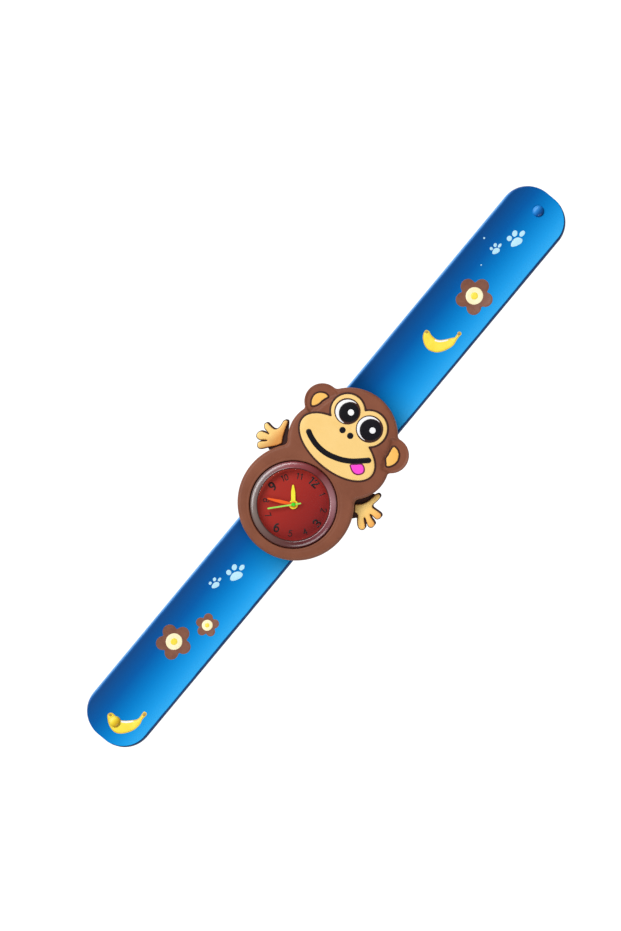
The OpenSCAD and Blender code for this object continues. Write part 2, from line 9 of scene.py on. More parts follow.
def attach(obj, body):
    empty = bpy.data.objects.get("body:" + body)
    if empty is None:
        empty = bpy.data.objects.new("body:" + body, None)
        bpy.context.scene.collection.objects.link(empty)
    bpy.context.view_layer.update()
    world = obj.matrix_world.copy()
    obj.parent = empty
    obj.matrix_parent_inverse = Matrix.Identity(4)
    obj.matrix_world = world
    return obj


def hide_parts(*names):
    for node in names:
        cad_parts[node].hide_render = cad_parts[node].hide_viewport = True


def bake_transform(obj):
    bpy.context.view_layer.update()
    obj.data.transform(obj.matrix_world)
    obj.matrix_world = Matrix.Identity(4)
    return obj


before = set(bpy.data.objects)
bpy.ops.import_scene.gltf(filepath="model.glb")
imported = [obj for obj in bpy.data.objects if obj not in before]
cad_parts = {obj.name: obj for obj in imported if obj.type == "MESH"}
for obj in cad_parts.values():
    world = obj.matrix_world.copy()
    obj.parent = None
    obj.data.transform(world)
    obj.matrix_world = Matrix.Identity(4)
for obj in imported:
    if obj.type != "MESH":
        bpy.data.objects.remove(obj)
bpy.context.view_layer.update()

MM = 0.001
COL = bpy.context.scene.collection

# ------------------------------------------------------------------ materials


def lin(h):
    """A hex colour as linear RGB."""
    v = [int(h[i:i + 2], 16) / 255 for i in (1, 3, 5)]
    return [c / 12.92 if c <= 0.04045 else ((c + 0.055) / 1.055) ** 2.4 for c in v]


def material(name, base, dark=None, rough=0.45, rough_var=0.08, scale=300.0, bump=0.05, bump_scale=2500.0,
             metallic=0.0, spec=0.5, coat=0.0, coat_rough=0.1, sss=0.0, sss_radius=(0.002, 0.001, 0.0006),
             alpha=1.0, transmission=0.0, ior=1.45, stretch=None, sheen=0.0, mottled=0.5):
    m = bpy.data.materials.new(name)
    m.use_nodes = True
    nt = m.node_tree
    bsdf = nt.nodes["Principled BSDF"]
    base = list(base)
    dark = list(dark) if dark is not None else [c * 0.86 for c in base]
    tc = nt.nodes.new("ShaderNodeTexCoord")
    src = tc.outputs["Object"]
    if stretch is not None:
        mp = nt.nodes.new("ShaderNodeMapping")
        mp.inputs["Scale"].default_value = stretch
        nt.links.new(src, mp.inputs["Vector"])
        src = mp.outputs["Vector"]
    big = nt.nodes.new("ShaderNodeTexNoise")
    big.inputs["Scale"].default_value = scale
    big.inputs["Detail"].default_value = 5.0
    big.inputs["Roughness"].default_value = 0.6
    nt.links.new(src, big.inputs["Vector"])
    ramp = nt.nodes.new("ShaderNodeValToRGB")
    ramp.color_ramp.elements[0].position = 0.5 - mottled * 0.5
    ramp.color_ramp.elements[1].position = 0.5 + mottled * 0.5
    ramp.color_ramp.elements[0].color = dark + [1]
    ramp.color_ramp.elements[1].color = base + [1]
    nt.links.new(big.outputs["Fac"], ramp.inputs["Fac"])
    nt.links.new(ramp.outputs["Color"], bsdf.inputs["Base Color"])
    fine = nt.nodes.new("ShaderNodeTexNoise")
    fine.inputs["Scale"].default_value = bump_scale
    fine.inputs["Detail"].default_value = 3.0
    nt.links.new(src, fine.inputs["Vector"])
    rr = nt.nodes.new("ShaderNodeMapRange")
    rr.inputs["From Min"].default_value = 0.3
    rr.inputs["From Max"].default_value = 0.7
    rr.inputs["To Min"].default_value = max(0.0, rough - rough_var)
    rr.inputs["To Max"].default_value = min(1.0, rough + rough_var)
    nt.links.new(fine.outputs["Fac"], rr.inputs["Value"])
    nt.links.new(rr.outputs["Result"], bsdf.inputs["Roughness"])
    if bump > 0:
        bp = nt.nodes.new("ShaderNodeBump")
        bp.inputs["Strength"].default_value = bump
        bp.inputs["Distance"].default_value = 0.0002
        nt.links.new(fine.outputs["Fac"], bp.inputs["Height"])
        nt.links.new(bp.outputs["Normal"], bsdf.inputs["Normal"])
    bsdf.inputs["Metallic"].default_value = metallic
    bsdf.inputs["Specular IOR Level"].default_value = spec
    bsdf.inputs["IOR"].default_value = ior
    bsdf.inputs["Coat Weight"].default_value = coat
    bsdf.inputs["Coat Roughness"].default_value = coat_rough
    bsdf.inputs["Sheen Weight"].default_value = sheen
    bsdf.inputs["Subsurface Weight"].default_value = sss
    bsdf.inputs["Subsurface Radius"].default_value = sss_radius
    bsdf.inputs["Subsurface Scale"].default_value = 1.0
    bsdf.inputs["Alpha"].default_value = alpha
    bsdf.inputs["Transmission Weight"].default_value = transmission
    return m


BROWN = material("soft_brown", lin("#8b533c"), lin("#7b4631"), rough=0.5, scale=120, bump=0.10, bump_scale=3200, spec=0.32)
OUTLINE = material("outline_brown", lin("#40180a"), lin("#320f05"), rough=0.5, scale=260, bump=0.05)
DEEP_BASE_AND_SHADE = material("deep_brown_and_painted_shade", lin("#3c1710"), lin("#2a0d08"), rough=0.55, scale=200, bump=0.05)
TAN = material("soft_tan", lin("#f9d388"), lin("#f4ca7a"), rough=0.48, scale=140, bump=0.10, bump_scale=3200, spec=0.4)
AMBER = material("soft_amber", lin("#fcc96e"), lin("#f7b854"), rough=0.48, scale=160, bump=0.10, bump_scale=3200, spec=0.4)
PALM_PAINTED_SHADE = material("soft_palm_painted_shade", lin("#fdd98c"), lin("#f8bb60"), rough=0.48, scale=230, bump=0.10, bump_scale=3200, spec=0.4, mottled=0.4)
WHITE = material("soft_white", lin("#fdfdfd"), lin("#f1f1f2"), rough=0.35, scale=200, bump=0.03, spec=0.5)
BLACK = material("soft_black", lin("#16141b"), lin("#0e0c12"), rough=0.34, scale=220, bump=0.05, spec=0.32)
PINK = material("soft_pink", lin("#ff55dc"), lin("#f63fcf"), rough=0.36, scale=200, bump=0.05, spec=0.5)
PLUM = material("outline_plum", lin("#7c1250"), lin("#630c3e"), rough=0.45, scale=200, bump=0.05)
# the hand pads' colour ramp is painted light and shade: paler palms, deeper orange toward the wrists and outer edges
PALM_SHADE_STOPS = [(0.0, "#fdd88a"), (0.09, "#fed280"), (0.15, "#f2aa58"), (0.5, "#ffdc8a"), (0.88, "#ffd884"), (0.94, "#fdc870"), (1.0, "#f0a450")]
BLUE_PAINTED_LIGHT = material("silicone_blue_painted_light", lin("#0e70c6"), lin("#0b69bc"), rough=0.44, scale=60, bump=0.08, bump_scale=2600, spec=0.1)


def shade_across(m, stops, half, mid=0.0):
    """Paint light and shade into a material's colour across the band, from its left edge to its right edge."""
    nt = m.node_tree
    bsdf = nt.nodes["Principled BSDF"]
    noise = [n for n in nt.nodes if n.type == "TEX_NOISE"][0]
    tc = [n for n in nt.nodes if n.type == "TEX_COORD"][0]
    sep = nt.nodes.new("ShaderNodeSeparateXYZ")
    nt.links.new(tc.outputs["Object"], sep.inputs["Vector"])
    mr = nt.nodes.new("ShaderNodeMapRange")
    mr.inputs["From Min"].default_value = mid - half
    mr.inputs["From Max"].default_value = mid + half
    nt.links.new(sep.outputs["X"], mr.inputs["Value"])
    wob = nt.nodes.new("ShaderNodeMath")
    wob.operation = "MULTIPLY_ADD"
    wob.inputs[1].default_value = 0.03
    nt.links.new(noise.outputs["Fac"], wob.inputs[0])
    nt.links.new(mr.outputs["Result"], wob.inputs[2])
    sh = nt.nodes.new("ShaderNodeMath")
    sh.operation = "SUBTRACT"
    sh.inputs[1].default_value = 0.015
    nt.links.new(wob.outputs["Value"], sh.inputs[0])
    ramp = nt.nodes.new("ShaderNodeValToRGB")
    while len(ramp.color_ramp.elements) < len(stops):
        ramp.color_ramp.elements.new(0.5)
    for e, (pos, col) in zip(ramp.color_ramp.elements, stops):
        e.position = pos
        e.color = lin(col) + [1]
    nt.links.new(sh.outputs["Value"], ramp.inputs["Fac"])
    nt.links.new(ramp.outputs["Color"], bsdf.inputs["Base Color"])


shade_across(PALM_PAINTED_SHADE, PALM_SHADE_STOPS, 0.0242)
# the band's colour ramp is painted light and shade: a pale painted highlight line on the left edge, a darker left side
# brightening to the right, and navy painted shade on the right wall
shade_across(BLUE_PAINTED_LIGHT, [(0.0, "#7db4e6"), (0.018, "#5797d6"), (0.034, "#1a5da6"), (0.06, "#0a4a8c"), (0.3, "#025ca8"), (0.55, "#007cc8"), (0.8, "#0896e0"),
                    (0.95, "#1fa3e8"), (0.963, "#0b3d74"), (1.0, "#082850")], 0.01126, 0.00035)
# painted shade for the right edge of the band's rounded tips
EDGE_PAINTED_SHADE = material("silicone_edge_painted_shade", lin("#0a3566"), lin("#082c58"), rough=0.44, scale=60, bump=0.08, bump_scale=2600, spec=0.1)
EDGE_PAINTED_HALF_SHADE = material("silicone_edge_painted_half_shade", lin("#0a5296"), lin("#094a8a"), rough=0.44, scale=60, bump=0.08, bump_scale=2600, spec=0.1)
# domes: a painted highlight on the left side and painted shade on the right side
DOME_PAINTED_LIGHT = material("dome_blue_painted_light", lin("#0a63b4"), lin("#0757a2"), rough=0.3, scale=300, bump=0.0, spec=0.3)
shade_across(DOME_PAINTED_LIGHT, [(0.0, "#5cb0f2"), (0.3, "#2a8cdc"), (0.6, "#0a559f"), (1.0, "#042450")], 0.0021, 0.0004)
PAW = material("print_pale", lin("#c4eefc"), lin("#b2e2f6"), rough=0.4, scale=500, bump=0.06)
DOME_Y_PAINTED_LIGHT = material("dome_yellow_painted_light", lin("#f0cf34"), lin("#e4bf26"), rough=0.3, scale=300, bump=0.0, spec=0.3)
shade_across(DOME_Y_PAINTED_LIGHT, [(0.0, "#fff27c"), (0.35, "#f6dc3c"), (0.7, "#cfa41c"), (1.0, "#8a6a0c")], 0.0021, 0.0005)
YELLOW = material("print_yellow", lin("#fce850"), lin("#f6da3a"), rough=0.4, scale=500, bump=0.06)
GOLD = material("print_gold", lin("#e6c93c"), lin("#d6b22e"), rough=0.4, scale=500, bump=0.06)
CREAM = material("print_cream", lin("#fff7d2"), lin("#fbeeb8"), rough=0.4, scale=500, bump=0.06)
STEM = material("print_stem", lin("#c49a4a"), lin("#a87c34"), rough=0.4, scale=500, bump=0.06)
COCO = material("print_brown", lin("#8a5a44"), lin("#74473a"), rough=0.4, scale=500, bump=0.06)
MAROON = material("case_maroon", lin("#a85450"), lin("#984844"), rough=0.3, scale=160, bump=0.02, spec=0.5)
# the dial's red carries painted light and shade: lighter on the left, darker to the right
DIAL_PAINTED_LIGHT = material("dial_red_painted_light", lin("#ad2c25"), lin("#a0261f"), rough=0.38, scale=130, bump=0.04, bump_scale=4000, spec=0.25)
shade_across(DIAL_PAINTED_LIGHT, [(0.0, "#e05444"), (0.06, "#cc4436"), (0.13, "#bc362c"), (0.45, "#b02f28"), (0.75, "#9e2825"), (1.0, "#862224")], 0.0119)
NUM = material("dial_numbers", lin("#2c1014"), lin("#1e0a0e"), rough=0.45, scale=800, bump=0.03)
HOUR = material("hand_yellow_painted_glow", lin("#fff63e"), lin("#fcee34"), rough=0.35, scale=600, bump=0.03)
MINUTE = material("hand_orange_painted_glow", lin("#ff6a22"), lin("#f65c16"), rough=0.35, scale=600, bump=0.03)
SECOND = material("hand_green_painted_glow", lin("#a8ee66"), lin("#98e456"), rough=0.35, scale=600, bump=0.03)
HUB = material("hub_green_painted_glow", lin("#4be428"), lin("#3cd81c"), rough=0.3, scale=600, bump=0.02)
# the watch hands and hub glow faintly: painted light that keeps them bright down in the recess
for m, painted_glow in ((HOUR, "#fff03a"), (MINUTE, "#ff5a14"), (SECOND, "#9af05a"), (HUB, "#40e020")):
    m.node_tree.nodes["Principled BSDF"].inputs["Emission Color"].default_value = lin(painted_glow) + [1]
    m.node_tree.nodes["Principled BSDF"].inputs["Emission Strength"].default_value = 0.16
RIM_PAINTED_REFLECTION = material("clear_rim_painted_reflection", lin("#7c352f"), lin("#6c2c27"), rough=0.22, rough_var=0.04, scale=200, bump=0.0, ior=1.49, spec=0.9)


def shade_around(m, stops, centre):
    """Paint reflections and shade into a material's colour around a centre, clockwise from straight up the figure."""
    nt = m.node_tree
    tc = [n for n in nt.nodes if n.type == "TEX_COORD"][0]
    sub = nt.nodes.new("ShaderNodeVectorMath")
    sub.operation = "SUBTRACT"
    sub.inputs[1].default_value = (centre[0] * MM, centre[1] * MM, 0)
    nt.links.new(tc.outputs["Object"], sub.inputs[0])
    sep = nt.nodes.new("ShaderNodeSeparateXYZ")
    nt.links.new(sub.outputs["Vector"], sep.inputs["Vector"])
    at = nt.nodes.new("ShaderNodeMath")
    at.operation = "ARCTAN2"
    nt.links.new(sep.outputs["X"], at.inputs[0])
    nt.links.new(sep.outputs["Y"], at.inputs[1])
    turn = nt.nodes.new("ShaderNodeMath")
    turn.operation = "MULTIPLY_ADD"
    turn.inputs[1].default_value = 1 / (2 * math.pi)
    turn.inputs[2].default_value = 1.0
    nt.links.new(at.outputs["Value"], turn.inputs[0])
    fr = nt.nodes.new("ShaderNodeMath")
    fr.operation = "FRACT"
    nt.links.new(turn.outputs["Value"], fr.inputs[0])
    ramp = nt.nodes.new("ShaderNodeValToRGB")
    while len(ramp.color_ramp.elements) < len(stops):
        ramp.color_ramp.elements.new(0.5)
    for e, (pos, col) in zip(ramp.color_ramp.elements, stops):
        e.position = pos
        e.color = lin(col) + [1]
    nt.links.new(fr.outputs["Value"], ramp.inputs["Fac"])
    nt.links.new(ramp.outputs["Color"], nt.nodes["Principled BSDF"].inputs["Base Color"])


# the rim's ramp is painted reflection and shade: grey and pink painted highlights, dark red where the rim lies in shade
shade_around(RIM_PAINTED_REFLECTION, [(0.0, "#701e20"), (0.13, "#a8787e"), (0.22, "#86464e"), (0.36, "#561218"), (0.47, "#62403c"), (0.6, "#766660"), (0.76, "#7e6a6a"), (0.88, "#94484e"),
                   (1.0, "#701e20")], (0.0, -16.0))
SEAM_PAINTED_SHADE = material("clear_seam_painted_shade", lin("#4a2420"), lin("#3c1c19"), rough=0.3, scale=300, bump=0.0)
WINDOW = material("clear_window", [0.02, 0.02, 0.02], [0.01, 0.01, 0.01], rough=0.04, rough_var=0.02, scale=200, bump=0.0,
                  alpha=0.06, ior=1.47)
STEEL = material("spring_steel", [0.62, 0.63, 0.66], [0.5, 0.51, 0.54], rough=0.28, metallic=1.0, scale=90, stretch=(8, 0.3, 8), bump=0.06)
BRASS = material("brass", [0.78, 0.58, 0.25], [0.66, 0.47, 0.18], rough=0.28, metallic=1.0, scale=400, bump=0.04)
COPPER = material("copper_wire", [0.72, 0.33, 0.16], [0.5, 0.2, 0.09], rough=0.3, metallic=1.0, scale=3000, bump=0.3)
IRON = material("soft_iron", [0.36, 0.36, 0.38], [0.28, 0.28, 0.3], rough=0.4, metallic=1.0, scale=500, bump=0.05)
MAGNET = material("magnet", [0.12, 0.12, 0.13], [0.08, 0.08, 0.09], rough=0.5, scale=900, bump=0.1)
IVORY = material("ivory_plastic", [0.82, 0.77, 0.63], [0.76, 0.7, 0.56], rough=0.35, scale=500, bump=0.04)
BLACKPL = material("black_plastic", [0.05, 0.05, 0.055], [0.035, 0.035, 0.04], rough=0.45, scale=500, bump=0.08)
WHITEPL = material("white_plastic", [0.8, 0.8, 0.78], [0.74, 0.74, 0.72], rough=0.35, scale=300, bump=0.04)
BOARD = material("green_board", [0.03, 0.2, 0.07], [0.02, 0.13, 0.05], rough=0.4, scale=900, bump=0.08)

# ------------------------------------------------------------------ flat shapes as distance fields, in millimetres


def circle(c):
    return lambda x, y: np.hypot(x - c[0], y - c[1]) - c[2]


def ellipse(c):
    def f(x, y):
        dx, dy = x - c[0], y - c[1]
        k = np.sqrt((dx / c[2]) ** 2 + (dy / c[3]) ** 2) + 1e-9
        g = np.sqrt((dx / c[2] ** 2) ** 2 + (dy / c[3] ** 2) ** 2) / k + 1e-9
        return np.maximum((k - 1) / g, -min(c[2], c[3]))
    return f


def seg_dist(x, y, a, b):
    ax, ay = a
    bx, by = b
    vx, vy = bx - ax, by - ay
    t = np.clip(((x - ax) * vx + (y - ay) * vy) / (vx * vx + vy * vy + 1e-12), 0, 1)
    return np.hypot(x - ax - t * vx, y - ay - t * vy)


def capsule(a, b, r, r2=None):
    def f(x, y):
        vx, vy = b[0] - a[0], b[1] - a[1]
        t = np.clip(((x - a[0]) * vx + (y - a[1]) * vy) / (vx * vx + vy * vy + 1e-12), 0, 1)
        rr = r if r2 is None else r + (r2 - r) * t
        return np.hypot(x - a[0] - t * vx, y - a[1] - t * vy) - rr
    return f


def spline(pts, closed=False, n=8):
    """Catmull-Rom points through pts."""
    p = np.array(pts, float)
    if closed:
        q = np.vstack([p[-1], p, p[0], p[1]])
        m = len(p)
    else:
        q = np.vstack([2 * p[0] - p[1], p, 2 * p[-1] - p[-2]])
        m = len(p) - 1
    out = []
    for i in range(m):
        a, b, c, d = q[i], q[i + 1], q[i + 2], q[i + 3]
        for k in range(n):
            t = k / n
            out.append(0.5 * (2 * b + (c - a) * t + (2 * a - 5 * b + 4 * c - d) * t * t + (3 * b - a - 3 * c + d) * t ** 3))
    if not closed:
        out.append(p[-1])
    return np.array(out)


def stroke(pts, r):
    def f(x, y):
        d = np.full(np.shape(x), 1e9)
        for i in range(len(pts) - 1):
            d = np.minimum(d, seg_dist(x, y, pts[i], pts[i + 1]))
        return d - r
    return f


def poly(pts):
    def f(x, y):
        x = np.asarray(x, float)
        y = np.asarray(y, float)
        d = np.full(x.shape, 1e9)
        inside = np.zeros(x.shape, bool)
        n = len(pts)
        for i in range(n):
            a, b = pts[i], pts[(i + 1) % n]
            d = np.minimum(d, seg_dist(x, y, a, b))
            cond = (a[1] > y) != (b[1] > y)
            with np.errstate(divide="ignore", invalid="ignore"):
                xi = (b[0] - a[0]) * (y - a[1]) / (b[1] - a[1] + 1e-15) + a[0]
            inside ^= cond & (x < xi)
        return np.where(inside, -d, d)
    return f


def union(*fs):
    return lambda x, y: np.minimum.reduce([f(x, y) for f in fs])


def soft_union(k, *fs):
    def f(x, y):
        d = fs[0](x, y)
        for g in fs[1:]:
            e = g(x, y)
            h = np.clip(0.5 + 0.5 * (e - d) / k, 0, 1)
            d = e * (1 - h) + d * h - k * h * (1 - h)
        return d
    return f


def both(*fs):
    return lambda x, y: np.maximum.reduce([f(x, y) for f in fs])


def minus(f, g):
    return lambda x, y: np.maximum(f(x, y), -g(x, y))


def grow(f, r):
    return lambda x, y: f(x, y) - r


def half_plane(p, n):
    return lambda x, y: (x - p[0]) * n[0] + (y - p[1]) * n[1]


def fillet(d, r):
    """How far a rounded edge drops at depth d inside an outline."""
    e = np.clip(r - d, 0, r)
    return r - np.sqrt(np.maximum(r * r - e * e, 0))


# ------------------------------------------------------------------ meshes from outlines


def contour(f, box, h, level):
    """Closed loops where f equals level."""
    x0, y0, x1, y1 = box
    xs = np.arange(x0, x1 + h, h)
    ys = np.arange(y0, y1 + h, h)
    X, Y = np.meshgrid(xs, ys)
    F = f(X, Y) - level
    F = np.where(F == 0, 1e-9, F)
    S = F < 0
    code = S[:-1, :-1] * 1 + S[:-1, 1:] * 2 + S[1:, 1:] * 4 + S[1:, :-1] * 8
    link = {}
    pts = {}

    def cut(j0, i0, j1, i1):
        key = (j0, i0, j1, i1)
        if key not in pts:
            a, b = F[j0, i0], F[j1, i1]
            t = a / (a - b)
            pts[key] = (xs[i0] + t * (xs[i1] - xs[i0]), ys[j0] + t * (ys[j1] - ys[j0]))
        return key

    for j, i in np.argwhere((code > 0) & (code < 15)):
        c = code[j, i]
        B = (j, i, j, i + 1)
        R = (j, i + 1, j + 1, i + 1)
        T = (j + 1, i, j + 1, i + 1)
        L = (j, i, j + 1, i)
        table = {1: [(B, L)], 2: [(R, B)], 3: [(R, L)], 4: [(T, R)], 5: [(B, R), (T, L)], 6: [(T, B)], 7: [(T, L)],
                 8: [(L, T)], 9: [(B, T)], 10: [(R, T), (L, B)], 11: [(R, T)], 12: [(L, R)], 13: [(B, R)], 14: [(L, B)]}[int(c)]
        for a, b in table:
            link.setdefault(cut(*a), []).append(cut(*b))
    loops = []
    while link:
        start = next(iter(link))
        cur = start
        loop = []
        while cur in link:
            nxt = link[cur].pop()
            if not link[cur]:
                del link[cur]
            loop.append(pts[cur])
            cur = nxt
            if cur == start:
                break
        if len(loop) > 5:
            loops.append(np.array(loop))
    return loops


def resample(loop, s):
    p = np.vstack([loop, loop[:1]])
    seg = np.hypot(*np.diff(p, axis=0).T)
    t = np.concatenate([[0], np.cumsum(seg)])
    n = max(12, int(round(t[-1] / s)))
    q = np.linspace(0, t[-1], n, endpoint=False)
    return np.stack([np.interp(q, t, p[:, 0]), np.interp(q, t, p[:, 1])], 1)


def snap(f, p, level, rounds=3):
    e = 1e-3
    for _ in range(rounds):
        v = f(p[:, 0], p[:, 1]) - level
        gx = (f(p[:, 0] + e, p[:, 1]) - f(p[:, 0] - e, p[:, 1])) / (2 * e)
        gy = (f(p[:, 0], p[:, 1] + e) - f(p[:, 0], p[:, 1] - e)) / (2 * e)
        g2 = gx * gx + gy * gy + 1e-6
        step = np.clip(v / g2, -0.3, 0.3)
        p = p - np.stack([gx * step, gy * step], 1)
    return p


def flat_mesh(f, box, h, rings, s, s_in, extra=()):
    """Triangles that fill an outline, with vertex rows at the given depths."""
    P = []
    E = []
    for k, depth in enumerate(rings):
        for loop in contour(f, box, h, -depth):
            q = snap(f, resample(loop, s), -depth)
            if len(q) < 12 and k:
                continue
            b = len(P)
            P += [tuple(v) for v in q]
            E += [(b + i, b + (i + 1) % len(q)) for i in range(len(q))]
    gx = np.arange(box[0], box[2], s_in)
    gy = np.arange(box[1], box[3], s_in * 0.866)
    for j, y in enumerate(gy):
        xs = gx + (s_in / 2 if j % 2 else 0)
        d = f(xs, np.full(xs.shape, y))
        for x in xs[d < -(rings[-1] + 0.55 * s_in)]:
            P.append((x, y))
    for q, closed in extra:
        q = [v for v in q]
        b = len(P)
        P += [tuple(v) for v in q]
        n = len(q)
        E += [(b + i, b + (i + 1) % n) for i in range(n if closed else n - 1)]
    verts, _, faces, _, _, _ = delaunay_2d_cdt([Vector(v) for v in P], E, [], 0, 1e-6)
    V = np.array([(v.x, v.y) for v in verts])
    T = np.array([t for t in faces if len(t) == 3])
    c = V[T].mean(axis=1)
    keep = f(c[:, 0], c[:, 1]) < -1e-5
    T = T[keep]
    a, b, d = V[T[:, 0]], V[T[:, 1]], V[T[:, 2]]
    area = (b[:, 0] - a[:, 0]) * (d[:, 1] - a[:, 1]) - (b[:, 1] - a[:, 1]) * (d[:, 0] - a[:, 0])
    T[area < 0] = T[area < 0][:, ::-1]
    T = T[np.abs(area) > 1e-9]
    used = np.unique(T)
    remap = -np.ones(len(V), int)
    remap[used] = np.arange(len(used))
    return V[used], remap[T]


def edge_rows(r, n=6):
    """Depths that follow a rounded edge of radius r."""
    return [r * (1 - math.cos(math.pi / 2 * k / n)) for k in range(n + 1)]


def new_object(name, verts, faces, mat, smooth=True, angle=None):
    me = bpy.data.meshes.new(name)
    me.from_pydata([tuple(v) for v in verts], [], [tuple(int(i) for i in t) for t in faces])
    me.validate()
    me.update()
    me.polygons.foreach_set("use_smooth", [smooth] * len(me.polygons))
    if angle is not None:
        me.set_sharp_from_angle(angle=math.radians(angle))
    me.materials.append(mat)
    ob = bpy.data.objects.new(name, me)
    COL.objects.link(ob)
    return ob


def boundary_edges(T):
    cnt = {}
    for t in T:
        for i in range(3):
            a, b = int(t[i]), int(t[(i + 1) % 3])
            if (b, a) in cnt:
                del cnt[(b, a)]
            else:
                cnt[(a, b)] = 1
    return list(cnt)


def solid_from(V, T, ztop, zbot, place=None, skip_wall=None):
    """Top sheet, bottom sheet and walls from one flat mesh."""
    n = len(V)
    top = np.column_stack([V, ztop])
    bot = np.column_stack([V, zbot])
    pts = np.vstack([top, bot])
    faces = [tuple(t) for t in T] + [(t[0] + n, t[2] + n, t[1] + n) for t in T]
    for a, b in boundary_edges(T):
        if skip_wall is not None and skip_wall(V[a]) and skip_wall(V[b]):
            continue
        faces.append((b, a, a + n, b + n))
    if place is not None:
        pts = place(pts)
    return pts, faces


def plate(name, f, box, top, bottom, r_top, mat, r_bot=0.0, s=0.5, s_in=0.9, h=0.2, crown=0.0, rows=5, place=None,
          top_fn=None, bot_fn=None, angle=None, extra=()):
    rings = edge_rows(max(r_top, 0.02), rows)
    V, T = flat_mesh(f, box, h, rings, s, s_in, extra)
    d = np.maximum(-f(V[:, 0], V[:, 1]), 0)
    d = np.where(d < 2e-3, 0, d)
    zt = top - fillet(d, r_top) + crown * (1 - np.exp(-d / 2.5))
    if top_fn is not None:
        zt = top_fn(V[:, 0], V[:, 1], d, zt)
    zb = bottom + (fillet(d, r_bot) if r_bot > 0 else 0 * d)
    if bot_fn is not None:
        zb = bot_fn(V[:, 0], V[:, 1], d, zb)
    pts, faces = solid_from(V, T, zt, zb, place)
    return new_object(name, pts * MM, faces, mat, angle=angle)


def lathe(name, profile, centre, mat, n=160, angle=None, closed=True):
    """A turned piece from (radius, height) points, in millimetres."""
    pts = []
    faces = []
    m = len(profile)
    for i in range(n):
        a = 2 * math.pi * i / n
        for r, z in profile:
            pts.append((centre[0] + r * math.cos(a), centre[1] + r * math.sin(a), z))
    for i in range(n):
        j = (i + 1) % n
        for k in range(m if closed else m - 1):
            l = (k + 1) % m
            faces.append((i * m + k, j * m + k, j * m + l, i * m + l))
    ob = new_object(name, np.array(pts) * MM, faces, mat, angle=angle)
    return ob


def clean(ob, dist=1e-6):
    import bmesh
    bm = bmesh.new()
    bm.from_mesh(ob.data)
    bmesh.ops.remove_doubles(bm, verts=bm.verts, dist=dist)
    bmesh.ops.dissolve_degenerate(bm, edges=bm.edges, dist=dist)
    bmesh.ops.recalc_face_normals(bm, faces=bm.faces)
    bm.to_mesh(ob.data)
    bm.free()
    return ob


# ------------------------------------------------------------------ the figure

CRANIUM = (-0.2, 12.1, 15.5)
CHEEKS = (0.2, 6.3, 17.6, 14.0)
BELLY = (0.15, -14.9, 18.6)
EAR_L = (-13.9, 15.2, 5.75)
EAR_R = (13.9, 15.9, 5.75)
DIAL_C = (0.0, -16.0)
HOLE = (0.0, -16.0, 14.05)

f_head = soft_union(1.2, circle(CRANIUM), ellipse(CHEEKS))
f_trunk = soft_union(1.6, f_head, circle(BELLY))
f_ears = union(circle(EAR_L), circle(EAR_R))
f_outer = soft_union(0.9, f_trunk, f_ears)
f_inner = soft_union(1.2, circle((-0.2, 12.1, 12.4)), ellipse((0.2, 6.3, 14.2, 11.2)))
f_body = minus(f_outer, circle(HOLE))
f_face = soft_union(0.5, ellipse((-1.0, 7.0, 14.2, 7.5)), circle((-5.7, 18.0, 5.4)), circle((3.2, 18.0, 5.7)))
f_eye_l = circle((-5.72, 17.8, 3.98))
f_eye_r = circle((3.3, 17.95, 4.15))
f_white_l = minus(circle((-5.6, 17.75, 3.85)), circle((-4.6, 17.9, 3.6)))
f_white_r = minus(circle((3.15, 17.95, 3.92)), circle((3.95, 17.95, 3.62)))
f_pup_l = circle((-5.1, 17.87, 3.15))
f_pup_r = circle((3.75, 17.95, 3.42))
MOUTH = spline([(-11.05, 5.0), (-9.5, 4.25), (-7, 3.45), (-4.5, 3.15), (-2, 3.3), (0.5, 3.95), (3, 4.95),
                (5.5, 6.5), (7.5, 8.25), (9.4, 10.05)], n=5)
f_mouth = stroke(MOUTH, 0.94)
f_tongue = poly(spline([(6.0, 5.35), (6.6, 4.8), (7.4, 4.35), (8.5, 4.1), (9.6, 4.5), (10.35, 5.4), (10.5, 6.3), (10.0, 7.1),
                        (9.2, 7.6), (8.4, 7.6), (7.3, 6.6)], closed=True, n=4))


EAR_IN_L = spline([(-13.5, 17.45), (-14.5, 17.7), (-15.5, 17.3), (-16.4, 16.6), (-17.05, 15.3), (-16.85, 13.7), (-16.1, 12.45),
                   (-15.5, 12.1), (-14.8, 12.9), (-14.3, 14.0), (-14.15, 15.3), (-13.8, 16.5)], closed=True, n=4)
EAR_IN_R = spline([(12.85, 18.5), (14.0, 18.6), (15.1, 18.1), (15.9, 17.3), (16.55, 15.8), (16.4, 14.2), (15.7, 12.9),
                   (15.0, 12.45), (14.25, 13.2), (13.4, 14.1), (13.25, 15.3), (12.95, 16.8)], closed=True, n=4)
f_insets = union(poly(EAR_IN_L), poly(EAR_IN_R))


def smooth01(v):
    v = np.clip(v, 0, 1)
    return v * v * (3 - 2 * v)


TOP = 13.55


def body_top(x, y, d, z):
    do = np.maximum(-f_outer(x, y), 0)
    rho = np.hypot(x - HOLE[0], y - HOLE[1])
    dh = np.maximum(rho - HOLE[2], 0)
    z = TOP - fillet(do, 1.15) + 0.12 * (1 - np.exp(-do / 2.0)) - 0.12
    z = z - fillet(dh, 0.5) - 0.10 * np.exp(-((rho - 14.85) / 0.22) ** 2)
    # the ears sit a little lower than the head
    ear = smooth01(-f_ears(x, y) / 0.9) * smooth01((f_inner(x, y) - 0.35) / 1.0)
    z = z - 0.9 * ear
    # and the insets lie in shallow recesses
    rec = smooth01((1.15 - f_insets(x, y)) / 0.6)
    return z * (1 - rec) + np.minimum(z, 12.6) * rec


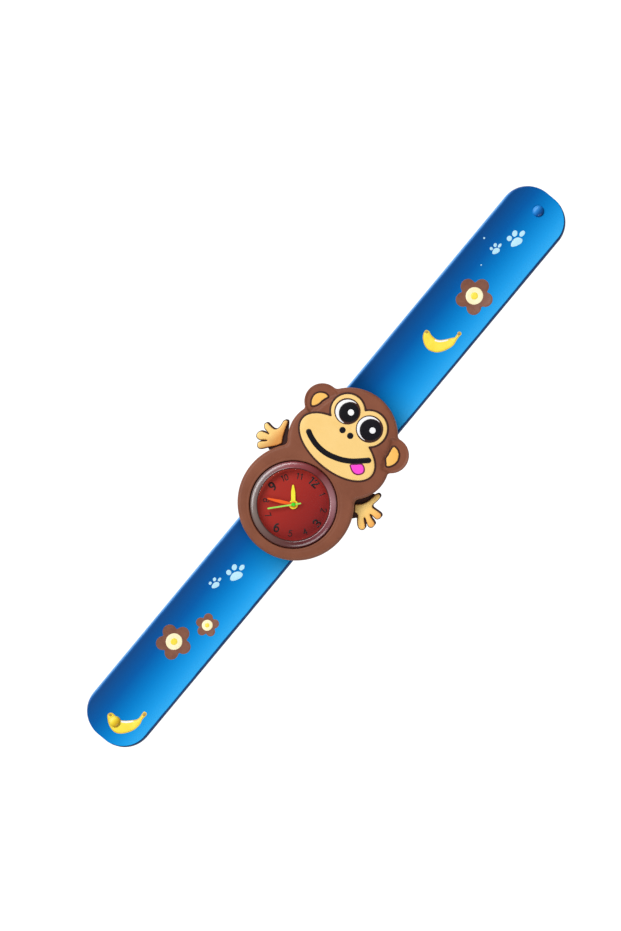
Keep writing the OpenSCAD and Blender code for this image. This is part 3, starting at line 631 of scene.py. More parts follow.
box_fig = (-21, -35, 21, 29)
body = plate("figure_body_skin", f_body, box_fig, TOP, 5.2, 1.15, BROWN, s=0.4, s_in=0.62, rows=7,
             top_fn=body_top, r_bot=0.5, angle=55)
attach(body, "head")
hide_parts("figure_body")

# floor below the watch, closing the pocket from behind
pocket = plate("figure_pocket_floor", circle((0, -16, 14.3)), (-15, -31, 15, -1), 6.05, 5.2, 0.02, BROWN, s=0.8, s_in=1.6,
               angle=40)
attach(pocket, "head")

# the keeper behind the figure: a moulded loop that the band runs through
def keeper_shape(x, z):
    qx, qz = np.abs(x) - (13.4 - 1.7), np.abs(z - 6.0) - (6.0 - 1.7)
    outer = np.minimum(np.maximum(qx, qz), 0) + np.hypot(np.maximum(qx, 0), np.maximum(qz, 0)) - 1.7
    gx, gz = np.abs(x - 0.35) - (11.4 - 0.5), np.abs(z - 7.1) - (6.0 - 0.5)
    inner = np.minimum(np.maximum(gx, gz), 0) + np.hypot(np.maximum(gx, 0), np.maximum(gz, 0)) - 0.5
    return np.maximum(np.maximum(outer, -inner), z - 5.3)


keeper = plate("strap_keeper_skin", keeper_shape, (-15, -1, 15, 7), 16.0, -10.0, 0.45, BROWN, r_bot=0.45, s=0.35, s_in=0.6, h=0.12,
               place=lambda p: np.column_stack([p[:, 0], -p[:, 2], p[:, 1]]), angle=50)
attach(keeper, "head")
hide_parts("strap_keeper")

# inner ears: amber insets with a dark outline
for nm, c, pts in (("left", EAR_L, EAR_IN_L), ("right", EAR_R, EAR_IN_R)):
    fin = poly(pts)
    bx = (c[0] - 6, c[1] - 6, c[0] + 6, c[1] + 6)
    line = plate("ear_line_" + nm, grow(fin, 0.5), bx, 12.74, 11.7, 0.1, OUTLINE, s=0.3, s_in=0.6)
    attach(line, "head")
    inn = plate("ear_inset_" + nm, fin, bx, 12.86, 11.8, 0.3, AMBER, s=0.25, s_in=0.5)
    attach(inn, "head")
    if nm == "left":
        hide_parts("ear_insets")

# face panel with its dark outline
bf = (-17, -2, 15, 25)
line = plate("face_line", grow(f_face, 0.55), bf, TOP + 0.06, 12.6, 0.12, OUTLINE, s=0.35, s_in=1.2)
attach(line, "head")
face = plate("face_panel_skin", f_face, bf, TOP + 0.22, 12.6, 0.4, TAN, s=0.35, s_in=0.8, crown=0.14)
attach(face, "head")
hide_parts("face_panel")

FT = TOP + 0.34


def disc_piece(name, fs, top, bottom, r, mat, node=None, s=0.25, s_in=0.5, crown=0.0):
    first = True
    for i, (f, c, rad) in enumerate(fs):
        ob = plate("%s_%d" % (name, i + 1), f, (c[0] - rad - 1, c[1] - rad - 1, c[0] + rad + 1, c[1] + rad + 1), top, bottom, r, mat,
                   s=s, s_in=s_in, crown=crown, h=0.15)
        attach(ob, "head")
        if node:
            if first:
                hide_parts(node)
        first = False


eyes = [(f_eye_l, (-5.72, 17.8), 3.98), (f_eye_r, (3.3, 17.95), 4.15)]
disc_piece("eye_line", [(grow(f, 0.22), c, r + 0.22) for f, c, r in eyes], FT + 0.05, 13.2, 0.1, OUTLINE)
disc_piece("eye_white", [(f_white_l, (-5.6, 17.75), 3.9), (f_white_r, (3.15, 17.95), 4.0)], FT + 0.14, 13.2, 0.12, WHITE, "eye_whites", s=0.2, s_in=0.4)
disc_piece("pupil", [(f_pup_l, (-5.1, 17.87), 3.15), (f_pup_r, (3.75, 17.95), 3.42)], FT + 0.2, 13.5, 0.2, BLACK, "pupils", crown=0.14)
disc_piece("glint", [(circle((-4.6, 18.25, 1.0)), (-4.6, 18.25), 1.0), (circle((4.35, 18.2, 1.0)), (4.35, 18.2), 1.0)],
           FT + 0.42, 13.7, 0.12, WHITE, "pupil_glints", s=0.15, s_in=0.3)
disc_piece("nostril", [(circle((-3.1, 12.2, 1.08)), (-3.1, 12.2), 1.08), (circle((-0.05, 12.35, 1.08)), (-0.05, 12.35), 1.08)],
           FT + 0.06, 13.2, 0.25, BLACK, "nostrils", s=0.15, s_in=0.3)
tl = plate("tongue_line", minus(grow(f_tongue, 0.32), stroke(MOUTH, 0.5)), (3, 1, 13, 11), FT + 0.03, 13.2, 0.08, PLUM, s=0.2, s_in=0.5)
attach(tl, "head")
tg = plate("tongue_skin", f_tongue, (3, 1, 13, 11), FT + 0.1, 13.2, 0.3, PINK, s=0.2, s_in=0.4, crown=0.1)
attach(tg, "head")
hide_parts("tongue")
mo = plate("mouth_skin", f_mouth, (-13, 1, 12, 12), FT + 0.2, 13.2, 0.4, BLACK, s=0.22, s_in=0.4)
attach(mo, "head")
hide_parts("mouth_line")

# hands: tan pads on dark bases, lower than the body; the dark bases stand partly for a brown under-layer and partly as
# painted shade of the gaps and side walls
LEFT = [(-18.9, 3.1), (-18.3, 3.25), (-17.9, 2.6), (-17.5, 1.25), (-16.9, -0.25), (-16.25, -1.75), (-15.5, -3.0), (-15.35, -3.35),
        (-16.0, -4.75), (-17.0, -6.0), (-18.25, -7.5), (-19.0, -8.5), (-19.9, -9.15), (-20.8, -8.8), (-21.2, -7.9), (-20.7, -7.1),
        (-19.6, -6.1), (-19.35, -5.7), (-19.6, -5.55), (-20.4, -6.0), (-21.3, -6.8), (-22.3, -6.95), (-23.1, -6.45), (-23.2, -5.3),
        (-22.7, -4.6), (-21.6, -4.15), (-20.5, -3.85), (-20.15, -3.65), (-20.5, -3.5), (-21.4, -3.3), (-22.4, -3.1), (-23.2, -2.4),
        (-23.3, -1.7), (-22.7, -1.35), (-21.5, -1.5), (-20.3, -1.5), (-19.4, -1.0), (-19.05, 0.2), (-19.15, 1.5), (-19.3, 2.6)]
RIGHT = [(19.0, 3.9), (19.6, 3.6), (19.75, 2.9), (19.7, 1.75), (19.5, 0.6), (19.55, -0.3), (20.2, -0.7), (21.75, -0.6), (23.2, -0.55),
         (23.9, -1.0), (23.9, -1.9), (23.3, -2.6), (22.3, -2.6), (21.2, -2.55), (20.75, -2.8), (21.2, -3.2), (22.2, -3.65), (23.3, -3.9),
         (24.0, -4.4), (24.0, -5.3), (23.4, -6.0), (22.5, -5.85), (21.5, -5.3), (20.6, -4.75), (20.05, -4.7), (20.1, -5.1), (21.0, -5.95),
         (22.0, -6.75), (22.3, -7.6), (21.75, -8.3), (20.75, -8.35), (19.6, -7.5), (18.75, -6.5), (18.2, -5.6), (17.4, -5.2), (16.6, -5.3),
         (16.0, -4.6), (15.2, -3.5), (16.25, -2.4), (17.2, -1.25), (17.75, 0.0), (18.0, 1.5), (18.15, 3.0), (18.5, 3.7)]


def moved(f, dx, dy):
    return lambda x, y: f(x - dx, y - dy)


def web(f, side):
    """A dark bridge from the hand to the body, its dark colour painted shade of the gap between them."""
    s = -1 if side == "left" else 1
    return soft_union(0.4, f, poly([(s * 17.6, 3.2), (s * 18.6, 2.5), (s * 18.4, -6.2), (s * 17.2, -7.6), (s * 15.0, -5.4), (s * 13.2, -2.0), (s * 15.6, 0.4)]))


for nm, pts, bx in (("left", LEFT, (-26, -11, -11, 6)), ("right", RIGHT, (11, -11, 26, 6))):
    f_hand = poly(spline(pts, closed=True, n=3))
    # the base is grown and shifted so that a dark rim shows on one side of each hand: painted shade of the side wall
    f_base = web(union(grow(f_hand, 0.22), moved(grow(f_hand, 0.12), 0.12, 0.5)), nm)
    f_base = both(f_base, lambda x, y: np.abs(x) - 24.2)
    base = plate("hand_base_" + nm, f_base, bx, 8.75, 5.3, 0.25, DEEP_BASE_AND_SHADE, s=0.3, s_in=0.7)
    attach(base, "head")
    pad = plate("hand_pad_" + nm, f_hand, bx, 9.55, 8.3, 0.45, PALM_PAINTED_SHADE, s=0.25, s_in=0.45, crown=0.12)
    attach(pad, "head")
    if nm == "left":
        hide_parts("hand_pads")

# ------------------------------------------------------------------ the watch

rim_profile = [(11.65, 12.75), (13.7, 12.75), (13.7, 13.2), (13.67, 13.42), (13.58, 13.62), (13.4, 13.78), (13.1, 13.93), (12.7, 14.06), (12.3, 14.15),
               (12.1, 14.17), (11.85, 14.1), (11.7, 13.98), (11.65, 13.8)]
rim = lathe("crystal_rim", rim_profile, DIAL_C, RIM_PAINTED_REFLECTION, n=200, angle=35)
clean(rim)
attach(rim, "head")
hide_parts("crystal")
# a dark ring at the inner edge of the rim: painted shade of the notch between rim and window
seam_shade_ring = lathe("crystal_seam_painted_shade", [(11.46, 13.4), (11.67, 13.4), (11.67, 13.95), (11.46, 13.95)], DIAL_C, SEAM_PAINTED_SHADE, n=160, angle=40)
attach(seam_shade_ring, "head")
win = lathe("crystal_window", [(0.0001, 13.35), (6, 13.35), (11.45, 13.3), (11.45, 14.0), (11.2, 14.12), (6, 14.4), (0.0001, 14.5)], DIAL_C, WINDOW, n=160,
            closed=False, angle=30)
clean(win)
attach(win, "head")


def hand(name, f, box, z, mat, body_name, node):
    ob = plate(name, f, box, z + 0.2, z, 0.09, mat, s=0.12, s_in=0.3, h=0.06, rows=3)
    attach(ob, body_name)
    if node:
        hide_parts(node)
    return ob


def along(angle, length):
    a = math.radians(angle)
    return (DIAL_C[0] + length * math.sin(a), DIAL_C[1] + length * math.cos(a))


bd = (-13, -29, 13, -3)
hand("hour_blade", union(circle((0, -16, 1.45)), capsule(along(319.5, 0), along(319.5, 4.0), 0.72, 0.66), capsule(along(319.5, 4.0), along(319.5, 6.0), 0.66, 0.3)), bd, 11.75, HOUR, "hours_arbor", "hour_hand")
hand("minute_blade", union(circle((0, -16, 0.95)), capsule(along(243.5, 0), along(243.5, 4.2), 0.46, 0.56), capsule(along(243.5, 4.2), along(243.5, 8.2), 0.56, 0.28)), bd, 12.15, MINUTE, "minutes_arbor", "minute_hand")
hand("second_blade", union(capsule(along(221.5, 0), along(221.5, 8.1), 0.27, 0.25), capsule(along(221.5, 0), along(221.5, -2.25), 0.26, 0.26)), bd, 12.55, SECOND,
     "seconds_arbor", "second_hand")
hub = lathe("second_hub", [(0.0001, 12.55), (0.68, 12.55), (0.7, 12.75), (0.62, 12.88), (0.4, 12.96), (0.0001, 13.0)], DIAL_C, HUB, n=48, closed=False, angle=40)
clean(hub)
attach(hub, "seconds_arbor")


DIGITS = {
    "0": [spline([(0, 0.5), (-0.2, 0.36), (-0.27, 0), (-0.2, -0.36), (0, -0.5), (0.2, -0.36), (0.27, 0), (0.2, 0.36)], closed=True, n=4)],
    "1": [[(-0.14, 0.3), (0.06, 0.5), (0.06, -0.5)]],
    "2": [spline([(-0.26, 0.26), (-0.18, 0.44), (0.02, 0.5), (0.22, 0.41), (0.26, 0.22), (0.15, 0.0), (-0.08, -0.24), (-0.28, -0.5)], n=4), [(-0.28, -0.5), (0.3, -0.5)]],
    "3": [spline([(-0.26, 0.36), (-0.1, 0.49), (0.08, 0.49), (0.23, 0.37), (0.23, 0.17), (0.08, 0.04), (-0.06, 0.03)], n=4),
          spline([(-0.06, 0.03), (0.14, 0.0), (0.28, -0.15), (0.26, -0.36), (0.1, -0.49), (-0.1, -0.5), (-0.28, -0.36)], n=4)],
    "4": [[(0.14, -0.5), (0.14, 0.5), (-0.3, -0.18), (0.32, -0.18)]],
    "5": [[(0.24, 0.5), (-0.18, 0.5), (-0.23, 0.06)],
          spline([(-0.23, 0.06), (-0.05, 0.15), (0.15, 0.1), (0.27, -0.1), (0.24, -0.34), (0.08, -0.49), (-0.12, -0.49), (-0.28, -0.36)], n=4)],
    "6": [spline([(0.2, 0.47), (-0.02, 0.4), (-0.2, 0.15), (-0.27, -0.15), (-0.2, -0.4), (0, -0.5), (0.2, -0.42), (0.28, -0.2), (0.2, 0.0), (0.02, 0.08),
                  (-0.16, 0.0), (-0.26, -0.18)], n=4)],
    "7": [[(-0.28, 0.5), (0.28, 0.5), (-0.08, -0.5)]],
    "8": [spline([(0, 0.5), (-0.2, 0.4), (-0.2, 0.14), (0, 0.03), (0.2, 0.14), (0.2, 0.4)], closed=True, n=4),
          spline([(0, 0.03), (-0.24, -0.1), (-0.26, -0.36), (0, -0.5), (0.26, -0.36), (0.24, -0.1)], closed=True, n=4)],
}
DIGITS["9"] = [[(-x, -y) for x, y in s] for s in DIGITS["6"]]


def number(text, at, tall, r, turn):
    """A printed numeral of plain strokes, turned about its own middle."""
    ca, sa = math.cos(turn), math.sin(turn)
    parts = []
    for i, ch in enumerate(text):
        shift = (i - (len(text) - 1) / 2) * 0.68
        for s in DIGITS[ch]:
            q = [((x + shift) * tall, y * tall) for x, y in s]
            q = [(DIAL_C[0] + at[0] + ca * x - sa * y, DIAL_C[1] + at[1] + sa * x + ca * y) for x, y in q]
            if ch in "08":
                q.append(q[0])
            parts.append(stroke(q, r))
    c = (DIAL_C[0] + at[0], DIAL_C[1] + at[1])
    w = tall * 1.1 + 0.4
    ob = plate("dial_number_" + text, union(*parts), (c[0] - w, c[1] - w, c[0] + w, c[1] + w), 11.45, 11.35, 0.03, NUM, s=0.1, s_in=0.3, h=0.05, rows=1)
    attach(ob, "head")


PLACES = {12: (0.35, 9.75), 11: (-4.2, 8.2), 10: (-7.6, 4.7), 9: (-8.85, 0.3), 8: (-7.5, -4.5), 7: (-4.1, -7.75), 6: (0.5, -9.1), 5: (5.1, -7.7),
          4: (8.4, -4.3), 3: (9.6, 0.2), 2: (8.6, 4.75), 1: (5.0, 8.4)}
for hr, at in PLACES.items():
    bold = hr in (3, 6, 9, 12)
    turn = -math.atan2(at[0], at[1]) + (math.pi if 3 <= hr <= 8 else 0)
    if hr == 6:
        turn = math.radians(35)
    number(str(hr), at, 2.5 if bold else 1.8, 0.27 if bold else 0.15, turn)

# ------------------------------------------------------------------ the band

R_IN, THICK, BAND_Z = 30.0, 1.8, 1.3
BAND_X = 0.35
R_OUT = R_IN + THICK
R_MID = R_IN + THICK / 2
AXIS_Z = BAND_Z + R_OUT
HALF_ANG = math.asin(11.26 / R_OUT)
HALF_U = R_MID * HALF_ANG
HALF_L = 112.5
END_R = 9.6
EDGE = 0.35


def bend(p):
    """From flat (across, along, up from the middle) to the trough."""
    a = p[:, 0] / R_MID
    r = R_MID - p[:, 2]
    return np.column_stack([r * np.sin(a) + BAND_X, p[:, 1], AXIS_Z - r * np.cos(a)])


def bend_mark(p):
    """The same for a print or a dome, placed from the figure's middle line."""
    return bend(p - np.array([BAND_X, 0, 0]))


def across():
    """Positions across the band, closer together at the rounded edges."""
    rows = edge_rows(EDGE, 6)
    left = [-HALF_U + d for d in rows]
    mid = list(np.linspace(-HALF_U + EDGE, HALF_U - EDGE, 45))[1:-1]
    right = [-v for v in left[::-1]]
    return np.array(left + mid + right)


U = across()
D_U = np.minimum(U + HALF_U, HALF_U - U)
W_TOP = THICK / 2 - fillet(D_U, EDGE)


def section(y, squeeze=0.0):
    k = 1 - squeeze
    top = np.column_stack([U * (1 - squeeze * 0.02), np.full(len(U), y), W_TOP * k])
    bot = np.column_stack([U[::-1] * (1 - squeeze * 0.02), np.full(len(U), y), -W_TOP[::-1] * k])
    return np.vstack([top, bot])


def rounded_rect(x, y):
    qx = np.abs(x) - (HALF_U - END_R)
    qy = np.abs(y) - (HALF_L - END_R)
    return np.minimum(np.maximum(qx, qy), 0) + np.hypot(np.maximum(qx, 0), np.maximum(qy, 0)) - END_R


def band_piece(name, y0, y1, tip):
    """A length of band from y0 (toward the figure) to y1, with a rounded end if tip is true."""
    sgn = 1 if y1 > y0 else -1
    tuck = (-0.2, 0.1, 0.4, 0.7, 1.0, 1.3, 1.6)
    stop = sgn * (HALF_L - END_R) if tip else y1
    n = max(2, int(round(abs(stop - y0) / 0.75)))
    ys = list(np.linspace(y0, stop, n + 1))
    rings = [section(y) for y in ys]
    m = len(rings[0])
    V = list(np.vstack(rings))
    F = []
    for i in range(len(rings) - 1):
        for k in range(m):
            l = (k + 1) % m
            q = (i * m + k, i * m + l, (i + 1) * m + l, (i + 1) * m + k)
            F.append(q if sgn > 0 else q[::-1])
    # a hidden tongue that closes the end toward the figure
    b = len(V)
    for back in tuck:
        V += list(section(y0 - sgn * back, 0.03))
    for i0, i1 in ((b + j * m, b + j * m + m) for j in range(len(tuck) - 1)):
        for k in range(m):
            l = (k + 1) % m
            q = (i0 + k, i0 + l, i1 + l, i1 + k)
            F.append(q[::-1] if sgn > 0 else q)
    h = m // 2
    for e, rev in ((b + m * (len(tuck) - 1), sgn > 0), (b, sgn < 0)):
        for k in range(h - 1):
            q = (e + k, e + k + 1, e + m - 2 - k, e + m - 1 - k)
            F.append(q if rev else q[::-1])
    if tip:
        g = lambda x, y: rounded_rect(x, y)
        dom = lambda x, y: np.maximum(g(x, y), (stop - y) * sgn)
        rows = edge_rows(EDGE, 6)
        P = []
        E = []
        for depth in rows:
            t = np.linspace(0, math.pi, 41)
            # right corner, flat end, left corner
            cx = HALF_U - END_R
            rad = END_R - depth
            arc_r = [(cx + rad * math.cos(a), sgn * (HALF_L - END_R) + sgn * rad * math.sin(a)) for a in np.linspace(0, math.pi / 2, 26)]
            flat = [(x, sgn * (HALF_L - depth)) for x in np.linspace(cx, -cx, 6)[1:-1]]
            arc_l = [(-cx - rad * math.cos(a), sgn * (HALF_L - END_R) + sgn * rad * math.sin(a)) for a in np.linspace(math.pi / 2, 0, 26)]
            q = arc_r + flat + arc_l
            bb = len(P)
            P += q
            E += [(bb + i, bb + i + 1) for i in range(len(q) - 1)]
        bb = len(P)
        P += [(u, stop) for u in U]
        E += [(bb + i, bb + i + 1) for i in range(len(U) - 1)]
        for y in np.arange(0.6, END_R, 0.6):
            for x in np.arange(-HALF_U, HALF_U, 0.6):
                xx, yy = x + 0.3 * (int(y / 0.6) % 2), stop + sgn * y
                if g(np.array(xx), np.array(yy)) < -EDGE - 0.3:
                    P.append((xx, yy))
        vs, _, fs, _, _, _ = delaunay_2d_cdt([Vector(p) for p in P], E, [], 0, 1e-5)
        v2 = np.array([(v.x, v.y) for v in vs])
        T = np.array([t for t in fs if len(t) == 3])
        c = v2[T].mean(axis=1)
        T = T[dom(c[:, 0], c[:, 1]) < -1e-4]
        a_, b_, c_ = v2[T[:, 0]], v2[T[:, 1]], v2[T[:, 2]]
        ar = (b_[:, 0] - a_[:, 0]) * (c_[:, 1] - a_[:, 1]) - (b_[:, 1] - a_[:, 1]) * (c_[:, 0] - a_[:, 0])
        T = T[np.abs(ar) > 1e-8]
        ar = ar[np.abs(ar) > 1e-8]
        T[ar < 0] = T[ar < 0][:, ::-1]
        d = np.maximum(-g(v2[:, 0], v2[:, 1]), 0)
        d = np.where(d < 1e-3, 0, d)
        w = THICK / 2 - fillet(d, EDGE)
        nn = len(v2)
        bb = len(V)
        V += list(np.column_stack([v2, w])) + list(np.column_stack([v2, -w]))
        F += [tuple(t + bb) for t in T] + [(t[0] + bb + nn, t[2] + bb + nn, t[1] + bb + nn) for t in T]
        for i, j in boundary_edges(T):
            if abs(v2[i][1] - stop) < 1e-4 and abs(v2[j][1] - stop) < 1e-4:
                continue
            F.append((j + bb, i + bb, i + bb + nn, j + bb + nn))
    P3 = bend(np.array(V)) * MM
    ob = new_object(name, P3, F, BLUE_PAINTED_LIGHT)
    if tip:
        import bmesh
        bm = bmesh.new()
        bm.from_mesh(ob.data)
        bmesh.ops.remove_doubles(bm, verts=bm.verts, dist=2e-6)
        bm.to_mesh(ob.data)
        bm.free()
        # the painted shade line of the band's right wall goes on around the corner
        ob.data.materials.append(EDGE_PAINTED_SHADE)
        ob.data.materials.append(EDGE_PAINTED_HALF_SHADE)
        for face in ob.data.polygons:
            u = R_MID * math.atan2(face.center.x / MM - BAND_X, AXIS_Z - face.center.z / MM)
            y = face.center.y / MM
            nx, ny = u - (HALF_U - END_R), sgn * y - (HALF_L - END_R)
            reach = math.hypot(nx, ny)
            if nx > 0 and ny > 0 and reach > END_R - 0.26:
                if nx / reach > 0.5:
                    face.material_index = 1
                elif nx / reach > 0.25:
                    face.material_index = 2
    return ob


def strip_piece(name, y0, y1):
    half = 8.5 / 30.936 * R_MID
    us = np.linspace(-half, half, 25)
    sgn = 1 if y1 > y0 else -1
    ys = np.linspace(y0, y1, max(2, int(abs(y1 - y0) / 0.9)) + 1)
    V = []
    F = []
    for y in ys:
        V += [(u, y, 0.09) for u in us] + [(u, y, -0.16) for u in us[::-1]]
    m = 2 * len(us)
    for i in range(len(ys) - 1):
        for k in range(m):
            l = (k + 1) % m
            q = (i * m + k, i * m + l, (i + 1) * m + l, (i + 1) * m + k)
            F.append(q if sgn > 0 else q[::-1])
    for e, rev in ((0, sgn < 0), ((len(ys) - 1) * m, sgn > 0)):
        for k in range(len(us) - 1):
            q = (e + k, e + k + 1, e + m - 2 - k, e + m - 1 - k)
            F.append(q[::-1] if rev else q)
    return new_object(name, bend(np.array(V)) * MM, F, STEEL, angle=40)


N = 8
SIDES = {}
for side, sgn, start in (("upper", 1, 13.0), ("lower", -1, 19.0)):
    L = (HALF_L - start) / N
    hinges = [sgn * (start + i * L) for i in range(N)]
    ends = [hinges[0] - sgn * L / 2] + [h + sgn * L / 2 for h in hinges[:-1]] + [sgn * HALF_L]
    SIDES[side] = (sgn, L, hinges, ends)


def band_blend(ob, side):
    sgn, L, hinges, ends = SIDES[side]
    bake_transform(ob)


MID_LO, MID_HI = SIDES["lower"][3][0], SIDES["upper"][3][0]
mid = band_piece("band_middle_skin", MID_LO, MID_HI, False)
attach(mid, "head")
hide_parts("band_middle")
st = strip_piece("spring_strip_middle", MID_LO, MID_HI)
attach(st, "head")
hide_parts("spring_strip")

for side in SIDES:
    sgn, L, hinges, ends = SIDES[side]
    for i in range(N):
        ob = band_piece("band_%s_%d" % (side, i + 1), ends[i], ends[i + 1], i == N - 1)
        nodes = ["%s_link_%d" % (side, i + 1)]
        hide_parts(*nodes)
        band_blend(ob, side)
        y1 = sgn * 106.0 if i == N - 1 else ends[i + 1]
        st = strip_piece("spring_strip_%s_%d" % (side, i + 1), ends[i], y1)
        band_blend(st, side)


def which_piece(y):
    side = "upper" if y > 0 else "lower"
    sgn, L, hinges, ends = SIDES[side]
    for i in range(N):
        lo, hi = sorted((ends[i], ends[i + 1]))
        if lo <= y <= hi:
            return side, i
    return side, N - 1


LIFT = 0.02


def print_on_band(name, f, box, mat, lift=LIFT, s=0.3, s_in=0.6):
    """A thin print that follows the band's surface, split where the band's pieces meet."""
    cuts = sorted(set(e for sd in SIDES.values() for e in sd[3]))
    y0, y1 = box[1], box[3]
    marks = [y0] + [c for c in cuts if y0 < c < y1] + [y1]
    for k in range(len(marks) - 1):
        lo, hi = marks[k], marks[k + 1]
        g = (lambda lo, hi: lambda x, y: np.maximum(f(x, y), np.maximum(lo - y, y - hi)))(lo - 1e-4 if k else lo - 5, hi if k < len(marks) - 2 else hi + 5)
        b = (box[0] - 0.5, lo - 0.5, box[2] + 0.5, hi + 0.5)
        if not contour(g, b, 0.08, 0.0):
            continue
        V, T = flat_mesh(g, b, 0.08, [0.0, 0.06], s, s_in)
        d = np.maximum(-f(V[:, 0], V[:, 1]), 0)
        zt = THICK / 2 + lift * np.clip(d / 0.06, 0, 1)
        pts, faces = solid_from(V, T, zt, np.full(len(V), THICK / 2 - 0.02), bend_mark)
        ob = new_object(name if len(marks) == 2 else "%s_%d" % (name, k + 1), pts * MM, faces, mat)
        side, i = which_piece((lo + hi) / 2)
        band_blend(ob, side)
        # where the band's pieces meet, the print goes on over the hidden tongue
        up = side == "upper"
        if k == 0 if up else k == len(marks) - 2:
            continue
        c0, c1 = (lo - 1.3, lo + 0.15) if up else (hi - 0.15, hi + 1.3)
        g = (lambda c0, c1: lambda x, y: np.maximum(f(x, y), np.maximum(c0 - y, y - c1)))(c0, c1)
        b = (box[0] - 0.5, c0 - 0.5, box[2] + 0.5, c1 + 0.5)
        if not contour(g, b, 0.08, 0.0):
            continue
        V, T = flat_mesh(g, b, 0.08, [0.0], s, s_in)
        low = THICK / 2 * 0.97
        pts, faces = solid_from(V, T, np.full(len(V), low + 0.004 + 0.2 * lift), np.full(len(V), low - 0.02), bend_mark)
        ob = new_object("%s_under_%d" % (name, k + 1), pts * MM, faces, mat)
        band_blend(ob, side)


def oval_print(name, c, rx, ry, tilt, mat, lift=LIFT):
    a = math.radians(tilt)
    ca, sa = math.cos(a), math.sin(a)
    e = ellipse((0, 0, rx, ry))
    f = lambda x, y: e((x - c[0]) * ca + (y - c[1]) * sa, -(x - c[0]) * sa + (y - c[1]) * ca)
    r = max(rx, ry) + 0.3
    print_on_band(name, f, (c[0] - r, c[1] - r, c[0] + r, c[1] + r), mat, lift=lift, s=0.2, s_in=0.35)


def outline_print(name, pts, mat, lift=LIFT, n=5):
    q = spline(pts, closed=True, n=n)
    b = (q[:, 0].min() - 0.3, q[:, 1].min() - 0.3, q[:, 0].max() + 0.3, q[:, 1].max() + 0.3)
    print_on_band(name, poly(q), b, mat, lift=lift)


def paw(name, pad, toes):
    outline_print(name + "_pad", pad, PAW)
    for i, (c, rx, ry, tilt) in enumerate(toes):
        oval_print("%s_toe_%d" % (name, i + 1), c, rx, ry, tilt, PAW)


paw("paw_a", [(2.2, 96.05), (2.75, 95.3), (2.6, 94.2), (1.85, 92.8), (1.0, 92.0), (0.4, 92.5), (0.05, 93.6), (0.2, 94.9), (1.0, 95.8)],
    [((1.0, 97.4), 0.75, 1.12, 0), ((-0.9, 95.93), 0.85, 1.05, 25), ((-1.23, 93.6), 0.85, 0.88, 0)])
paw("paw_b", [(-1.5, 89.0), (-1.0, 88.3), (-1.33, 87.2), (-2.17, 86.35), (-2.8, 87.0), (-2.9, 88.0), (-2.33, 88.8)],
    [((-2.17, 89.9), 0.45, 0.78, 0), ((-3.43, 89.07), 0.55, 0.65, 25), ((-3.67, 87.4), 0.55, 0.52, 0)])
paw("paw_c", [(1.0, -43.4), (2.0, -43.7), (2.05, -45.0), (1.2, -46.7), (0.2, -47.5), (-0.65, -46.9), (-0.85, -45.3), (-0.1, -44.0)],
    [((0.23, -42.1), 0.75, 1.05, 0), ((-1.73, -43.57), 0.85, 1.0, 25), ((-2.07, -46.0), 0.9, 0.82, -20)])
paw("paw_d", [(-2.2, -50.55), (-1.75, -51.25), (-2.15, -52.5), (-3.0, -53.25), (-3.6, -52.6), (-3.55, -51.3), (-2.85, -50.6)],
    [((-2.93, -49.6), 0.45, 0.7, 0), ((-4.23, -50.6), 0.55, 0.65, 25), ((-4.5, -52.4), 0.5, 0.55, 0)])
oval_print("dot_a", (-7.8, 88.5), 0.33, 0.33, 0, PAW)
oval_print("dot_b", (-2.8, 81.3), 0.26, 0.26, 0, PAW)


def banana(name, outline, light, stem, end):
    """A plain banana with a highlight, a brown stem tip and a brown end."""
    outline_print(name + "_edge", outline, GOLD)
    q = spline(outline, closed=True, n=5)
    inner = grow(poly(q), -0.28)
    b = (q[:, 0].min() - 0.3, q[:, 1].min() - 0.3, q[:, 0].max() + 0.3, q[:, 1].max() + 0.3)
    print_on_band(name + "_skin", inner, b, YELLOW, lift=0.05)
    hi = spline(light, n=6)
    print_on_band(name + "_light", both(stroke(hi, 0.3), grow(inner, 0.1)), b, WHITE, lift=0.075, s=0.2)
    oval_print(name + "_stem", stem, 0.5, 0.62, 0, STEM, lift=0.075)
    oval_print(name + "_end", end, 0.6, 0.42, 30, STEM, lift=0.075)


banana("banana_a", [(-3.0, 54.15), (-2.0, 54.35), (-0.67, 53.9), (1.0, 53.8), (2.33, 54.25), (3.67, 55.5), (4.83, 57.0), (5.73, 58.1), (5.7, 59.2),
                    (5.45, 60.1), (6.1, 60.6), (6.85, 60.2), (6.75, 59.0), (6.85, 57.7), (7.15, 56.3), (6.85, 54.67), (6.0, 52.67), (4.5, 50.8),
                    (2.67, 49.85), (1.0, 49.65), (-0.67, 50.2), (-2.17, 51.3), (-3.0, 52.5), (-3.2, 53.5)],
       [(1.5, 53.4), (2.6, 53.9), (3.6, 54.9), (4.4, 55.9)], (6.1, 59.75), (-2.5, 53.6))
banana("banana_b", [(-2.67, -104.8), (-1.83, -104.35), (-0.33, -104.45), (1.33, -104.5), (2.67, -103.8), (4.33, -102.3), (5.5, -101.0), (5.85, -99.8),
                    (5.7, -98.3), (5.75, -97.5), (6.6, -97.3), (7.15, -97.9), (7.0, -99.67), (7.45, -101.3), (7.3, -103.3), (6.5, -105.3),
                    (5.0, -107.3), (3.33, -108.45), (1.67, -108.65), (-0.33, -108.0), (-2.0, -106.8), (-2.85, -105.8)],
       [(2.1, -104.6), (3.2, -104.0), (4.1, -103.2), (4.9, -102.2)], (6.45, -98.2), (-2.1, -105.3))


